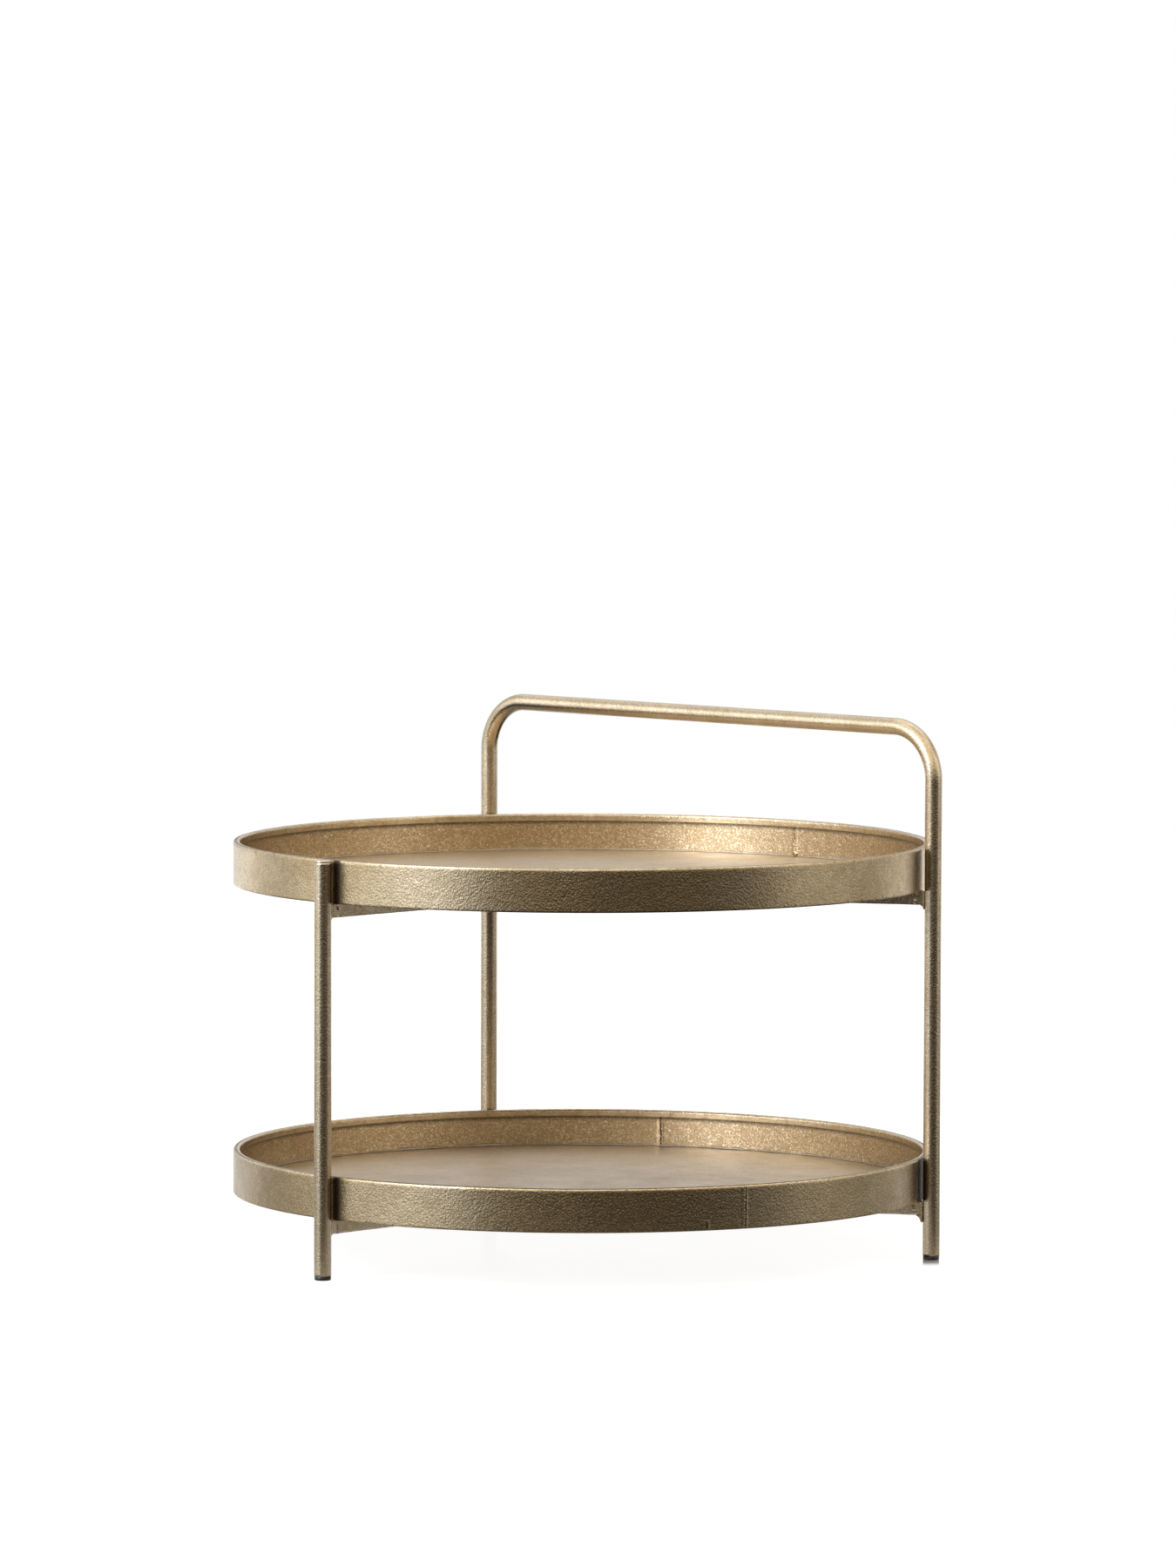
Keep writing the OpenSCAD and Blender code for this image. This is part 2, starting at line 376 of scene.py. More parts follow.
def weathered(n, geometry, given, mask=1.0):
    """Puts the weather group and the closing nodes at the end of a tree."""
    inputs = {"Geometry": geometry, "Wrinkle mask": mask}
    inputs.update((label, given[label]) for label, _, _ in WEATHER_INPUTS)
    group = n.add("GeometryNodeGroup", inputs, node_tree=built_once("Weather", build_weather))
    smooth = n.add("GeometryNodeSetShadeSmooth", {0: group.outputs[0]})
    real = n.add("GeometryNodeRealizeInstances", {0: smooth.outputs[0]})
    inputs = {"Geometry": real.outputs[0], "Material": given["Finish"]}
    return n.add("GeometryNodeSetMaterial", inputs).outputs[0]


def carried(n, curve, profile):
    """The mesh that a profile leaves behind along a curve."""
    return n.add("GeometryNodeCurveToMesh", {"Curve": curve, "Profile Curve": profile}).outputs[0]


def build_ring(name):
    """Carries a section, drawn as a loop of edges, once round a circle."""
    inputs = [GEOMETRY, ("Radius", "Float", 0.3), ("Segments", "Int", 360), *WEATHER_INPUTS, FINISH]
    n, given, made = new_group(name, "GeometryNodeTree", inputs, [GEOMETRY])
    section = n.add("GeometryNodeMeshToCurve", {0: given["Geometry"]}).outputs[0]
    inputs = {"Resolution": given["Segments"], "Radius": given["Radius"]}
    circle = n.add("GeometryNodeCurvePrimitiveCircle", inputs).outputs[0]
    swept = carried(n, circle, section)
    place = n.add("GeometryNodeInputPosition").outputs[0]
    radius = n.size(n.vectors("MULTIPLY", place, (1.0, 1.0, 0.0)))
    inside = n.math("LESS_THAN", n.minus(radius, given["Radius"]), -WRINKLED_FROM)
    n.feed(weathered(n, swept, given, inside), made["Geometry"])
    return n.tree


def build_tube(name):
    """Bends a line of edges at its corners, and carries the tube's two circles along it."""
    inputs = [
        GEOMETRY,
        ("Bend radius", "Float", 0.05),
        ("Tube radius", "Float", 0.008),
        ("Bore radius", "Float", 0.0065),
        ("Step", "Float", 0.002),
        ("Segments", "Int", 48),
        *WEATHER_INPUTS,
        FINISH,
    ]
    n, given, made = new_group(name, "GeometryNodeTree", inputs, [GEOMETRY])
    line = n.add("GeometryNodeMeshToCurve", {0: given["Geometry"]}).outputs[0]
    inputs = {"Curve": line, "Radius": given["Bend radius"], "Count": BEND_STEPS}
    bent = n.add("GeometryNodeFilletCurve", inputs, mode="POLY").outputs[0]
    inputs = {"Curve": bent, "Length": given["Step"]}
    even = n.add("GeometryNodeResampleCurve", inputs, mode="LENGTH").outputs[0]
    skins = []
    for radius in ("Tube radius", "Bore radius"):
        inputs = {"Resolution": given["Segments"], "Radius": given[radius]}
        circle = n.add("GeometryNodeCurvePrimitiveCircle", inputs).outputs[0]
        skins.append(carried(n, even, circle))
    both = n.add("GeometryNodeJoinGeometry")
    n.feed(skins[0], both.inputs[0])
    n.feed(n.add("GeometryNodeFlipFaces", {0: skins[1]}).outputs[0], both.inputs[0])
    n.feed(weathered(n, both.outputs[0], given), made["Geometry"])
    return n.tree


def build_beads(name):
    """Sets a bead on every point of a mesh, turned as its attribute says, no two quite the same size."""
    inputs = [GEOMETRY, ("Bead", "Object", None), *WEATHER_INPUTS, FINISH]
    n, given, made = new_group(name, "GeometryNodeTree", inputs, [GEOMETRY])
    bead = n.add("GeometryNodeObjectInfo", {"Object": given["Bead"]}).outputs["Geometry"]
    angle = n.add("GeometryNodeInputNamedAttribute", {"Name": "turn"}, data_type="FLOAT").outputs[0]
    turned = n.add("ShaderNodeCombineXYZ", {"Z": angle}).outputs[0]
    inputs = {"Seed": given["Seed"], 0: SMALLEST_BEAD, 1: LARGEST_BEAD}
    size = n.add("FunctionNodeRandomValue", inputs, data_type="FLOAT_VECTOR").outputs[0]
    inputs = {"Points": given["Geometry"], "Instance": bead, "Rotation": turned, "Scale": size}
    placed = n.add("GeometryNodeInstanceOnPoints", inputs)
    real = n.add("GeometryNodeRealizeInstances", {0: placed.outputs[0]})
    n.feed(weathered(n, real.outputs[0], given), made["Geometry"])
    return n.tree


def linked(name, data):
    """A new object, linked to the scene."""
    made = bpy.data.objects.new(name, data)
    bpy.context.scene.collection.objects.link(made)
    return made


def evaluated(carrier, name):
    """The plain mesh that an object's modifiers make. The object and its own mesh are removed."""
    source = carrier.data
    depsgraph = bpy.context.evaluated_depsgraph_get()
    made = bpy.data.meshes.new_from_object(
        carrier.evaluated_get(depsgraph), preserve_all_data_layers=True, depsgraph=depsgraph
    )
    carrier.modifiers.clear()
    bpy.data.objects.remove(carrier)
    bpy.data.meshes.remove(source)
    made.name = name
    if not made.polygons:
        raise RuntimeError(name + " came out empty")
    return made


def grown(name, mesh, tree, values):
    """Runs a geometry tree on a mesh, and returns the plain mesh that it makes."""
    carrier = linked(name + "_carrier", mesh)
    modifier = carrier.modifiers.new("grow", "NODES")
    modifier.node_group = tree
    for item in tree.interface.items_tree:
        if item.in_out == "INPUT" and item.name in values:
            modifier[item.identifier] = values[item.name]
    return evaluated(carrier, name)


def weather_values(finish, dents, pebble, wrinkles, seed):
    """Values of the weather inputs. Dents, pebble and wrinkles are shares of the depths in the settings."""
    s = settings().surface
    return {
        "Dent depth": s.dent_depth * dents,
        "Dent size": s.dent_size,
        "Pebble depth": s.pebble_depth * pebble,
        "Pebble size": s.pebble_size,
        "Wrinkle depth": s.wrinkle_depth * wrinkles,
        "Wrinkle size": s.wrinkle_size,
        "Seed": s.seed + seed,
        "Finish": finish,
    }


# Meshes


def mesh_of(name, points, faces=(), edges=()):
    """A mesh of points, faces and loose edges."""
    mesh = bpy.data.meshes.new(name)
    mesh.from_pydata([tuple(p) for p in points], list(edges), [tuple(f) for f in faces])
    mesh.update()
    return mesh


def loop_of_edges(name, points, closed=True):
    """A line or loop of edges through points."""
    count = len(points)
    edges = [(i, (i + 1) % count) for i in range(count if closed else count - 1)]
    return mesh_of(name, points, (), edges)


def outward(mesh):
    """Turns a closed mesh's faces outwards where they point inwards."""
    shell = bmesh.new()
    shell.from_mesh(mesh)
    if shell.calc_volume(signed=True) < 0:
        bmesh.ops.reverse_faces(shell, faces=shell.faces[:])
        shell.to_mesh(mesh)
    shell.free()
    return mesh


def rows_of(mesh, key="co"):
    """The places of a mesh's vertices, or their normals, one row each."""
    rows = np.empty(len(mesh.vertices) * 3, np.float32)
    mesh.vertices.foreach_get(key, rows)
    return rows.reshape(-1, 3)


def put_points(mesh, co):
    """Moves a mesh's vertices to the places in the rows."""
    mesh.vertices.foreach_set("co", np.asarray(co, np.float32).ravel())
    mesh.update()


def mark(mesh, name, values):
    """Stores one number at each vertex, for a material to read."""
    attribute = mesh.attributes.get(name) or mesh.attributes.new(name, "FLOAT", "POINT")
    attribute.data.foreach_set("value", np.asarray(values, np.float32))


def rise(value, start, width):
    """0 up to the start, then up to 1 over the width."""
    return np.clip((value - start) / width, 0, 1)


def fall(value, end, width):
    """1, then down to 0 over the width before the end."""
    return np.clip((end - value) / width, 0, 1)


def between(a, b, count):
    """The points that part a line into that many steps, without its last one."""
    return [tuple(v + (w - v) * i / count for v, w in zip(a, b)) for i in range(count)]


def stepped(points, step):
    """The same closed line with a point at least every step."""
    out = []
    for a, b in zip(points, points[1:] + points[:1]):
        out += between(a, b, max(1, math.ceil(math.dist(a, b) / step - 1e-6)))
    return out


def arc(x, y, radius, start, end, steps):
    """Points along an arc, angles in degrees."""
    angles = [math.radians(start + (end - start) * i / steps) for i in range(steps + 1)]
    return [(x + radius * math.cos(a), y + radius * math.sin(a)) for a in angles]


def bands(rings, count):
    """Faces between neighbouring rings of points, each ring closed."""
    faces = []
    for j in range(rings - 1):
        for i in range(count):
            k = (i + 1) % count
            faces.append((j * count + i, j * count + k, (j + 1) * count + k, (j + 1) * count + i))
    return faces


def bar_faces(rings, count):
    """Faces of a bar that is drawn through rings of points, with its two ends closed."""
    last = (rings - 1) * count
    return bands(rings, count) + [tuple(reversed(range(count))), tuple(range(last, last + count))]


def lathe(name, section, segments, centre):
    """A solid turned from a section of (radius, height) points that starts and ends on the axis."""
    points = []
    rings = [p for p in section if p[0] > 1e-7]
    for r, z in rings:
        for i in range(segments):
            a = 2 * math.pi * i / segments
            points.append((centre[0] + r * math.cos(a), centre[1] + r * math.sin(a), centre[2] + z))
    faces = bands(len(rings), segments)
    for first, pole in ((0, section[0]), ((len(rings) - 1) * segments, section[-1])):
        tip = len(points)
        points.append((centre[0], centre[1], centre[2] + pole[1]))
        for i in range(segments):
            a, b = first + i, first + (i + 1) % segments
            faces.append((a, b, tip) if first else (b, a, tip))
    return outward(mesh_of(name, points, faces))


def fractal_at(places, roughness, spread, octaves):
    """Soft noise at each place, about -1 to 1."""
    return np.array([noise.fractal(Vector(p), roughness, spread, octaves) for p in places])


def depth_share(values):
    """Soft noise as a share of a depth, 0 to 1."""
    return np.clip(values * 0.5 + 0.5, 0, 1)


def roughened(mesh, depth, size, octaves, seed):
    """Presses soft noise into a closed mesh, along its normals."""
    normals = rows_of(mesh, "normal")
    co = rows_of(mesh)
    shift = Vector((seed * 1.7, seed * 2.3, seed * 3.1))
    values = fractal_at((Vector(p) / size + shift for p in co.tolist()), 1.0, 2.0, octaves)
    put_points(mesh, co - normals * (depth_share(values) * depth)[:, None])
    return mesh


def shown(name, mesh, node, finish=None):
    """Makes a finished piece of a mesh: it rides on the table and stands for its CAD node."""
    if finish is not None:
        mesh.materials.clear()
        mesh.materials.append(finish)
    mesh.polygons.foreach_set("use_smooth", [True] * len(mesh.polygons))
    mesh.update()
    piece = linked(name, mesh)
    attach(piece, BODY)
    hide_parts(node)


# Shader nodes

# The leaf's colour where it is deepest, palest, rubbed, dirty and pitted, as shares of its base colour
DEEP = (0.72, 0.68, 0.6)
PALE = (1.12, 1.13, 1.16)
BRIGHT = (1.2, 1.26, 1.46)
GRIMY = (0.5, 0.43, 0.32)
PITTED = (0.35, 0.35, 0.35)
# How much more grime and flecks the walls' inner faces show: painted light, standing in for the stronger
# contrast that light gives inside the trays
LIVELIER = 1.1


def tinted(base, shares):
    """A colour for a socket: each part of the base times its share."""
    return (*(min(1, c * s) for c, s in zip(base, shares)), 1)


def build_grain(name):
    """Sand-cast grain of the leafed steel: its height, pits, bright flecks, and a slow change of tone."""
    inputs = [("Vector", "Vector", None), ("Grain size", "Float", 0.0014), ("Pits", "Float", 0.5)]
    inputs.append(("Seed", "Float", 0.0))
    outputs = numbers("Height", "Pit", "Tone", "Mottle", "Fleck")
    n, given, made = new_group(name, "ShaderNodeTree", inputs, outputs)
    vector, seed = given["Vector"], given["Seed"]
    per = n.over(1.0, given["Grain size"])
    # A pattern is finer than the grain where its share of this is above 1, and broader where it is below 1
    coarse = n.noise(vector, per, 2.0, 0.55, seed)
    fine = n.noise(vector, n.times(per, 2.7), 2.0, 0.6, seed)
    grains = n.cells(vector, n.times(per, 0.75))
    pit = n.ramp(n.cells(vector, n.times(per, 0.22)), 0.13, 0.05)
    chosen = n.ramp(n.noise(vector, n.times(per, 0.04), 1.0, 0.5, seed), 0.52, 0.6)
    pit = n.times(pit, chosen, given["Pits"])
    height = n.plus(n.times(coarse, 0.4), n.times(fine, 0.4))
    height = n.minus(height, n.times(grains, 0.36))
    height = n.minus(height, n.times(pit, 0.5))
    mottle = n.noise(vector, n.times(per, 0.2), 4.0, 0.7, seed)
    tone = n.noise(vector, n.times(per, 0.03), 5.0, 0.62, seed)
    tone = n.plus(n.times(tone, 0.6), n.times(mottle, 0.4))
    fleck = n.ramp(n.noise(vector, n.times(per, 0.7), 2.0, 0.7, n.plus(seed, 5.0)), 0.56, 0.7)
    for socket, value in zip(made, (height, pit, tone, mottle, fleck)):
        n.feed(value, socket)
    return n.tree


def build_wear_and_shade(name):
    """Where hands have rubbed an edge bright, and where cracks, chips and painted shade darken the leaf, from
    the vertices' marks.
    """
    inputs = [("Vector", "Vector", None), ("Seed", "Float", 0.0)]
    n, given, made = new_group(name, "ShaderNodeTree", inputs, numbers("Rubbed", "Dark"))
    broken = n.noise(given["Vector"], 160.0, 4.0, 0.65, given["Seed"])
    n.feed(n.times(n.mark("edge"), n.ramp(broken, 0.36, 0.6)), made["Rubbed"])
    broken = n.noise(given["Vector"], 700.0, 2.0, 0.6, given["Seed"])
    n.feed(n.times(n.mark("crack_and_shade"), n.ramp(broken, 0.3, 0.5, 0.8, 1.0)), made["Dark"])
    return n.tree


def leaf_colour(n, base, grain, wear_and_shade, contrast):
    """The leaf's colour: deep to pale with its tone, then grime, flecks, rubbed edges, pits, and cracks with
    painted shade.

    Inside the walls it is paler and livelier: painted light on the inner faces."""
    leaf = settings().leaf
    bright = tinted(base, BRIGHT)
    inner = n.mark("inner")
    lively = n.plus(1.0, n.times(inner, LIVELIER))
    # Half of the noise's range that the tones are spread over
    spread = 0.22 / contrast
    tone = n.ramp(grain["Tone"], 0.5 - spread, 0.5 + spread)
    shade = n.mix(tone, tinted(base, DEEP), tinted(base, PALE))
    grime = n.times(n.ramp(grain["Height"], 0.36, 0.2, 0.0, 0.4), lively)
    grime = n.larger(grime, n.times(n.ramp(grain["Mottle"], 0.5, 0.38, 0.0, 0.66), inner))
    shade = n.mix(grime, shade, tinted(base, GRIMY))
    shade = n.mix(n.times(grain["Fleck"], 0.45, lively), shade, bright)
    # Painted light: this turns the walls' colour into the paler one inside them, and may be above 1
    lit_inside = (*(a / b for a, b in zip(leaf.inside, leaf.wall)), 1)
    shade = n.mix(inner, shade, lit_inside, blend_type="MULTIPLY", clamp_result=True)
    shade = n.mix(wear_and_shade["Rubbed"], shade, bright)
    shade = n.mix(grain["Pit"], shade, tinted(base, PITTED))
    # Darkest in cracks and chips, and in the painted shade under the lips and behind the legs
    return n.mix(wear_and_shade["Dark"], shade, (*leaf.crack_and_shade, 1))


def leaf_gloss(n, roughness, grain, wear_and_shade):
    """The leaf's roughness: smoother where it is rubbed, duller in pits, cracks and painted shade."""
    dull = n.ramp(grain["Tone"], 0.35, 0.65, roughness + 0.05, roughness - 0.04)
    for mask, change in (
        (wear_and_shade["Rubbed"], -0.08),
        (grain["Fleck"], -0.05),
        (grain["Pit"], 0.25),
        (wear_and_shade["Dark"], 0.3),
    ):
        dull = n.plus(dull, n.times(mask, change))
    return dull


def new_material(name):
    """A material, its nodes, its shader, and the place on the piece in the piece's own frame."""
    material = bpy.data.materials.new(name)
    material.use_nodes = True
    n = Nodes(material.node_tree)
    shader = material.node_tree.nodes["Principled BSDF"]
    return material, n, shader, n.add("ShaderNodeTexCoord").outputs["Object"]


def leaf_material(name, base, roughness, grain_size, pits, depth, seed, contrast):
    """Antique metal leaf over steel: gold that darkens in its pits and brightens where it is rubbed."""
    material, n, shader, vector = new_material(name)
    inputs = {"Vector": vector, "Seed": seed}
    wear_and_shade_tree = built_once("Edge wear and shade", build_wear_and_shade)
    wear_and_shade = n.add("ShaderNodeGroup", inputs, node_tree=wear_and_shade_tree).outputs
    inputs.update({"Grain size": grain_size, "Pits": pits})
    grain_tree = built_once("Leaf grain", build_grain)
    grain = n.add("ShaderNodeGroup", inputs, node_tree=grain_tree).outputs
    n.feed(leaf_colour(n, base, grain, wear_and_shade, contrast), shader.inputs["Base Color"])
    n.feed(leaf_gloss(n, roughness, grain, wear_and_shade), shader.inputs["Roughness"])
    shader.inputs["Metallic"].default_value = 1.0
    relief = n.add("ShaderNodeBump", {"Strength": 1.0, "Distance": depth, "Height": grain["Height"]})
    n.feed(relief.outputs[0], shader.inputs["Normal"])
    return material


def foot_material(name):
    """Black moulded plastic, scuffed a little."""
    material, n, shader, vector = new_material(name)
    scuff = n.noise(vector, 900.0, 4.0, 0.65, 2.0)
    black, scuffed = (tinted(settings().leaf.foot, [part] * 3) for part in (1, 3))
    n.feed(n.mix(n.ramp(scuff, 0.5, 0.8), black, scuffed), shader.inputs["Base Color"])
    n.feed(n.ramp(scuff, 0.3, 0.7, 0.2, 0.34), shader.inputs["Roughness"])
    relief = n.add("ShaderNodeBump", {"Strength": 0.3, "Distance": 0.1 * MM, "Height": scuff})
    n.feed(relief.outputs[0], shader.inputs["Normal"])
    return material


def finish_of(key):
    """The finish of that key, built at its first use. Its name differs from the plain CAD material's."""
    leaf = settings().leaf
    name = "aged_" + key
    # Colour, roughness, size of the grain, share of pits, depth of the grain, seed, contrast of the tone
    recipes = {
        "wall": (leaf.wall, leaf.wall_roughness, 1.5 * MM, 0.45, 0.3 * MM, 1.0, 1.1),
        "floor": (leaf.floor, leaf.floor_roughness, 1.4 * MM, 0.3, 0.1 * MM, 2.0, 0.9),
        "tube": (leaf.tube, leaf.tube_roughness, 1.3 * MM, 0.8, 0.24 * MM, 3.0, 0.8),
        "arm": (leaf.arm, leaf.wall_roughness + 0.04, 1.6 * MM, 0.8, 0.3 * MM, 4.0, 1.0),
        "weld": (leaf.weld, leaf.wall_roughness, 1.2 * MM, 0.6, 0.5 * MM, 5.0, 1.2),
    }
    made = bpy.data.materials.get(name)
    if made is None and key == "foot":
        return foot_material(name)
    return made or leaf_material(name, *recipes[key])


# Tray walls

# How far from a leg's centre line the painted shade on the wall behind it reaches, in mm: it stands in for
# the leg's shadow and dark reflection
SHADE_BEHIND_LEGS = {"upper": {"back": 16, "front": 17.5}, "lower": {"right": 19, "back": 16, "front": 17.5}}
# Share of the outer edges' vertices where the leaf has chipped
CHIPPED = 0.016


def rolled_section():
    """A wall cut across: up its outside, over the two folds, round the lip's end, and down its inside."""
    t = settings().trays
    thick, soft = t.wall_thickness, 0.35 * MM
    lip_r, lip_z = t.radius - t.lip_width, t.wall_height - t.lip_drop
    outer_fold, lip_fold = t.radius - t.fold_radius, lip_r + t.fold_radius
    fold_z, in_fold = t.wall_height - t.fold_radius, t.fold_radius - thick
    section = []
    # Centre, radius, first and last angle, and steps of each corner
    for row in (
        (t.radius - soft, soft, soft, -90, 0, 2),
        (outer_fold, fold_z, t.fold_radius, 0, 90, 4),
        (lip_fold, fold_z, t.fold_radius, 90, 180, 4),
        (lip_r + soft, lip_z + soft, soft, 180, 270, 2),
        (lip_r + thick - soft, lip_z + soft, soft, 270, 360, 2),
        (lip_fold, fold_z, in_fold, 180, 90, 2),
        (outer_fold, fold_z, in_fold, 90, 0, 2),
        (t.radius - thick + soft, soft, soft, 180, 270, 2),
    ):
        section += arc(*row)
    return stepped(section, 1.75 * MM)


def ring_of(name, section, segments, values):
    """A ring about the Z axis, from a section of (radius, height) points."""
    radius = settings().trays.radius
    outline = loop_of_edges(name, [(r - radius, -z, 0) for r, z in section])
    tree = built_once("Rolled ring", build_ring)
    return grown(name, outline, tree, {"Radius": radius, "Segments": segments, **values})


def shade_under_lip(z):
    """Share of painted shade on the inner face at a height: the last few millimetres under the lip, where the
    lip's shadow falls.
    """
    lip_z = settings().trays.wall_height - settings().trays.lip_drop
    return rise(z, lip_z - 4.6 * MM, 3 * MM) * 0.7


def painted_shade_behind_legs(co, base, tray):
    """Share of painted shade on the wall behind the legs, standing in for their shadow and dark reflection.
    Behind the front one it starts beside the tube.
    """
    worst = np.zeros(len(co))
    for leg, reach in SHADE_BEHIND_LEGS[tray].items():
        axis = leg_axis(leg) - base
        away = np.hypot(co[:, 0] - axis.x, co[:, 1] - axis.y)
        painted_shade = fall(away, reach * MM, 2.5 * MM)
        if leg == "front":
            painted_shade *= rise(away, 10 * MM, 0.8 * MM)
        worst = np.maximum(worst, painted_shade * 0.97)
    return worst


def mark_wall(mesh, base, tray, rng):
    """Marks where a wall is rubbed bright, where it is chipped, where painted shade darkens it under the lip
    and behind the legs, and its inner face.
    """
    t = settings().trays
    lip_r, lip_z = t.radius - t.lip_width, t.wall_height - t.lip_drop
    co = rows_of(mesh) - np.array(base)
    radius, z = np.hypot(co[:, 0], co[:, 1]), co[:, 2]
    top = rise(z, t.wall_height - 1.6 * MM, 1.2 * MM)
    corner = fall(np.abs(radius - (t.radius - 1 * MM)), 1.5 * MM, 1.5 * MM)
    bottom = fall(z, 0.8 * MM, 0.8 * MM) * 0.5
    lip = (radius < lip_r + 1.2 * MM) * 0.3
    mark(mesh, "edge", np.maximum(np.maximum(top * corner, bottom), lip))
    within = (radius > lip_r + 3 * MM) & (radius < t.radius - t.wall_thickness + 0.7 * MM)
    outside = radius > t.radius - 1 * MM
    # Painted shade under the lip and behind the legs, darkened like the cracks
    painted_shade = np.maximum(shade_under_lip(z) * within, painted_shade_behind_legs(co, base, tray) * outside)
    outer_edge = outside & ((z < 2.4 * MM) | (z > t.wall_height - 3 * MM))
    mark(mesh, "crack_and_shade", np.maximum(painted_shade, outer_edge * (rng.random(len(co)) < CHIPPED) * 0.85))
    # The inner face takes the paler painted-light colour, and the patina's mottle
    mark(mesh, "inner", within & (z < lip_z))


class TABLE_OT_tray_walls(bpy.types.Operator):
    """Make both tray walls, rolled with their folded rims"""

    bl_idname = "table.tray_walls"
    bl_label = "Tray walls"

    def execute(self, context):
        section = rolled_section()[::-1]
        rng = np.random.default_rng(settings().surface.seed)
        for seed, tray in enumerate(TRAYS):
            base = wall_base(tray)
            name = tray + "_rolled_wall"
            values = weather_values(finish_of("wall"), 1.0, 1.0, 1.0, seed)
            mesh = ring_of(name, section, settings().trays.segments, values)
            mesh.transform(Matrix.Translation(base))
            outward(mesh)
            mark_wall(mesh, base, tray, rng)
            shown(name, mesh, tray + "_tray_wall")
        return {"FINISHED"}


# Tray floors

# The floor's edge, where the leaf climbs the wall: how far in, and how high above the floor's top, in mm
FLOOR_EDGE = (
    (0, 0),
    (0, 1.3),
    (0, 2.6),
    (0.32, 2.6),
    (0.42, 1.56),
    (0.5, 0.78),
    (0.6, 0.25),
    (0.8, 0.05),
)
CLIMB = 2.6 * MM
PAN_SEGMENTS = 640


def pan_section(reach, top):
    """A floor cut across: out along its underside, up its edge, and back over its top."""
    under = [(r, 0) for r in (0, 20 * MM, *np.linspace(40 * MM, reach - 1 * MM, 24))] + [(reach, 0.2 * MM)]
    edge = [(reach - inwards * MM, top + up * MM) for inwards, up in FLOOR_EDGE]
    return under + edge + [(r, top) for r in (*np.linspace(reach - 2.4 * MM, 8 * MM, 84), 0)]


def worn_pan(mesh, base, reach, top, seed):
    """Presses waves and ripples into a floor, tears its leaf's edge, and marks its rubbed edge and a darker
    corner where its leaf climbs the wall.
    """
    co = rows_of(mesh)
    local = co - np.array(base)
    radius = np.hypot(local[:, 0], local[:, 1])
    at_edge = radius > reach - 1.4 * MM
    for per_metre, depth in ((9, 0.06 * MM), (60, 0.02 * MM)):
        places = ((x * per_metre, y * per_metre, seed * 4.0) for x, y, _ in local.tolist())
        co[:, 2] -= depth_share(fractal_at(places, 1.0, 2.0, 2)) * depth * (radius < reach - 1.4 * MM)
    angle = np.arctan2(local[:, 1], local[:, 0])
    places = ((math.cos(a) * 9, math.sin(a) * 9, seed * 5.0) for a in angle.tolist())
    kept = np.clip(0.62 + fractal_at(places, 0.7, 2.2, 5) * 0.9, 0.12, 1.0)
    above = np.maximum(0, local[:, 2] - top) * at_edge
    co[:, 2] -= above * (1 - kept)
    put_points(mesh, co)
    mark(mesh, "edge", above / CLIMB * 0.1)
    corner = (above > 0) & (above < 0.6 * MM)
    mark(mesh, "crack_and_shade", corner * (1.1 - kept) * 0.5 + (above > 0) * 0.25)


class TABLE_OT_tray_floors(bpy.types.Operator):
    """Make both tray floors, with the small rise of leaf where each meets its wall"""

    bl_idname = "table.tray_floors"
    bl_label = "Tray floors"

    def execute(self, context):
        t = settings().trays
        reach = t.radius - t.wall_thickness + 0.2 * MM
        section = pan_section(reach, t.floor_thickness)
        for seed, tray in enumerate(TRAYS):
            base = wall_base(tray) + Vector((0, 0, t.floor_lift))
            mesh = lathe(tray + "_pan", section, PAN_SEGMENTS, base)
            worn_pan(mesh, base, reach, t.floor_thickness, seed)
            shown(tray + "_pan", mesh, tray + "_tray_floor", finish_of("floor"))
        return {"FINISHED"}


# Floor welds

# Ripples of the weld, once round
RIPPLES_ROUND = 1016
BEAD_SEGMENTS = 1400


def bead_section(corner):
    """The ring of weld cut across, in the corner of wall and floor. Its open face is hollow."""
    leg, sunk = 2 * MM, 0.35 * MM
    section = [(corner + sunk, sunk), (corner + sunk, -leg)]
    for a in (1.2, 0.8, 0.35):
        r, z = leg * (math.sin(a) - 1) * 0.9, leg * (math.cos(a) - 1) * 0.9
        section.append((corner - 0.2 * MM + r, z - 0.1 * MM))
    return stepped(section + [(corner - leg, sunk)], 0.6 * MM)


class TABLE_OT_floor_welds(bpy.types.Operator):
    """Make the ring of weld under each floor's edge, rippled as it was laid"""

    bl_idname = "table.floor_welds"
    bl_label = "Floor welds"

    def execute(self, context):
        t = settings().trays
        corner = t.radius - t.wall_thickness
        section = bead_section(corner)
        for seed, tray in enumerate(TRAYS):
            name = tray + "_floor_bead"
            values = weather_values(finish_of("weld"), 0.0, 0.0, 0.0, seed)
            mesh = ring_of(name, section, BEAD_SEGMENTS, values)
            co = rows_of(mesh)
            angle = np.arctan2(co[:, 1], co[:, 0])
            wobble = np.array([noise.noise(Vector((x * 40, y * 40, seed))) for x, y, _ in co.tolist()])
            ripple = np.sin(angle * RIPPLES_ROUND + wobble * 5) * 0.09 * MM + wobble * 0.15 * MM
            free = np.hypot(co[:, 0], co[:, 1]) < corner - 0.15 * MM
            co[:, 2] -= ripple * free * (co[:, 2] < 0)
            put_points(mesh, co)
            mesh.transform(Matrix.Translation(wall_base(tray) + Vector((0, 0, t.floor_lift))))
            shown(name, outward(mesh), tray + "_floor_weld", finish_of("weld"))
        return {"FINISHED"}


# Worn joints in the walls

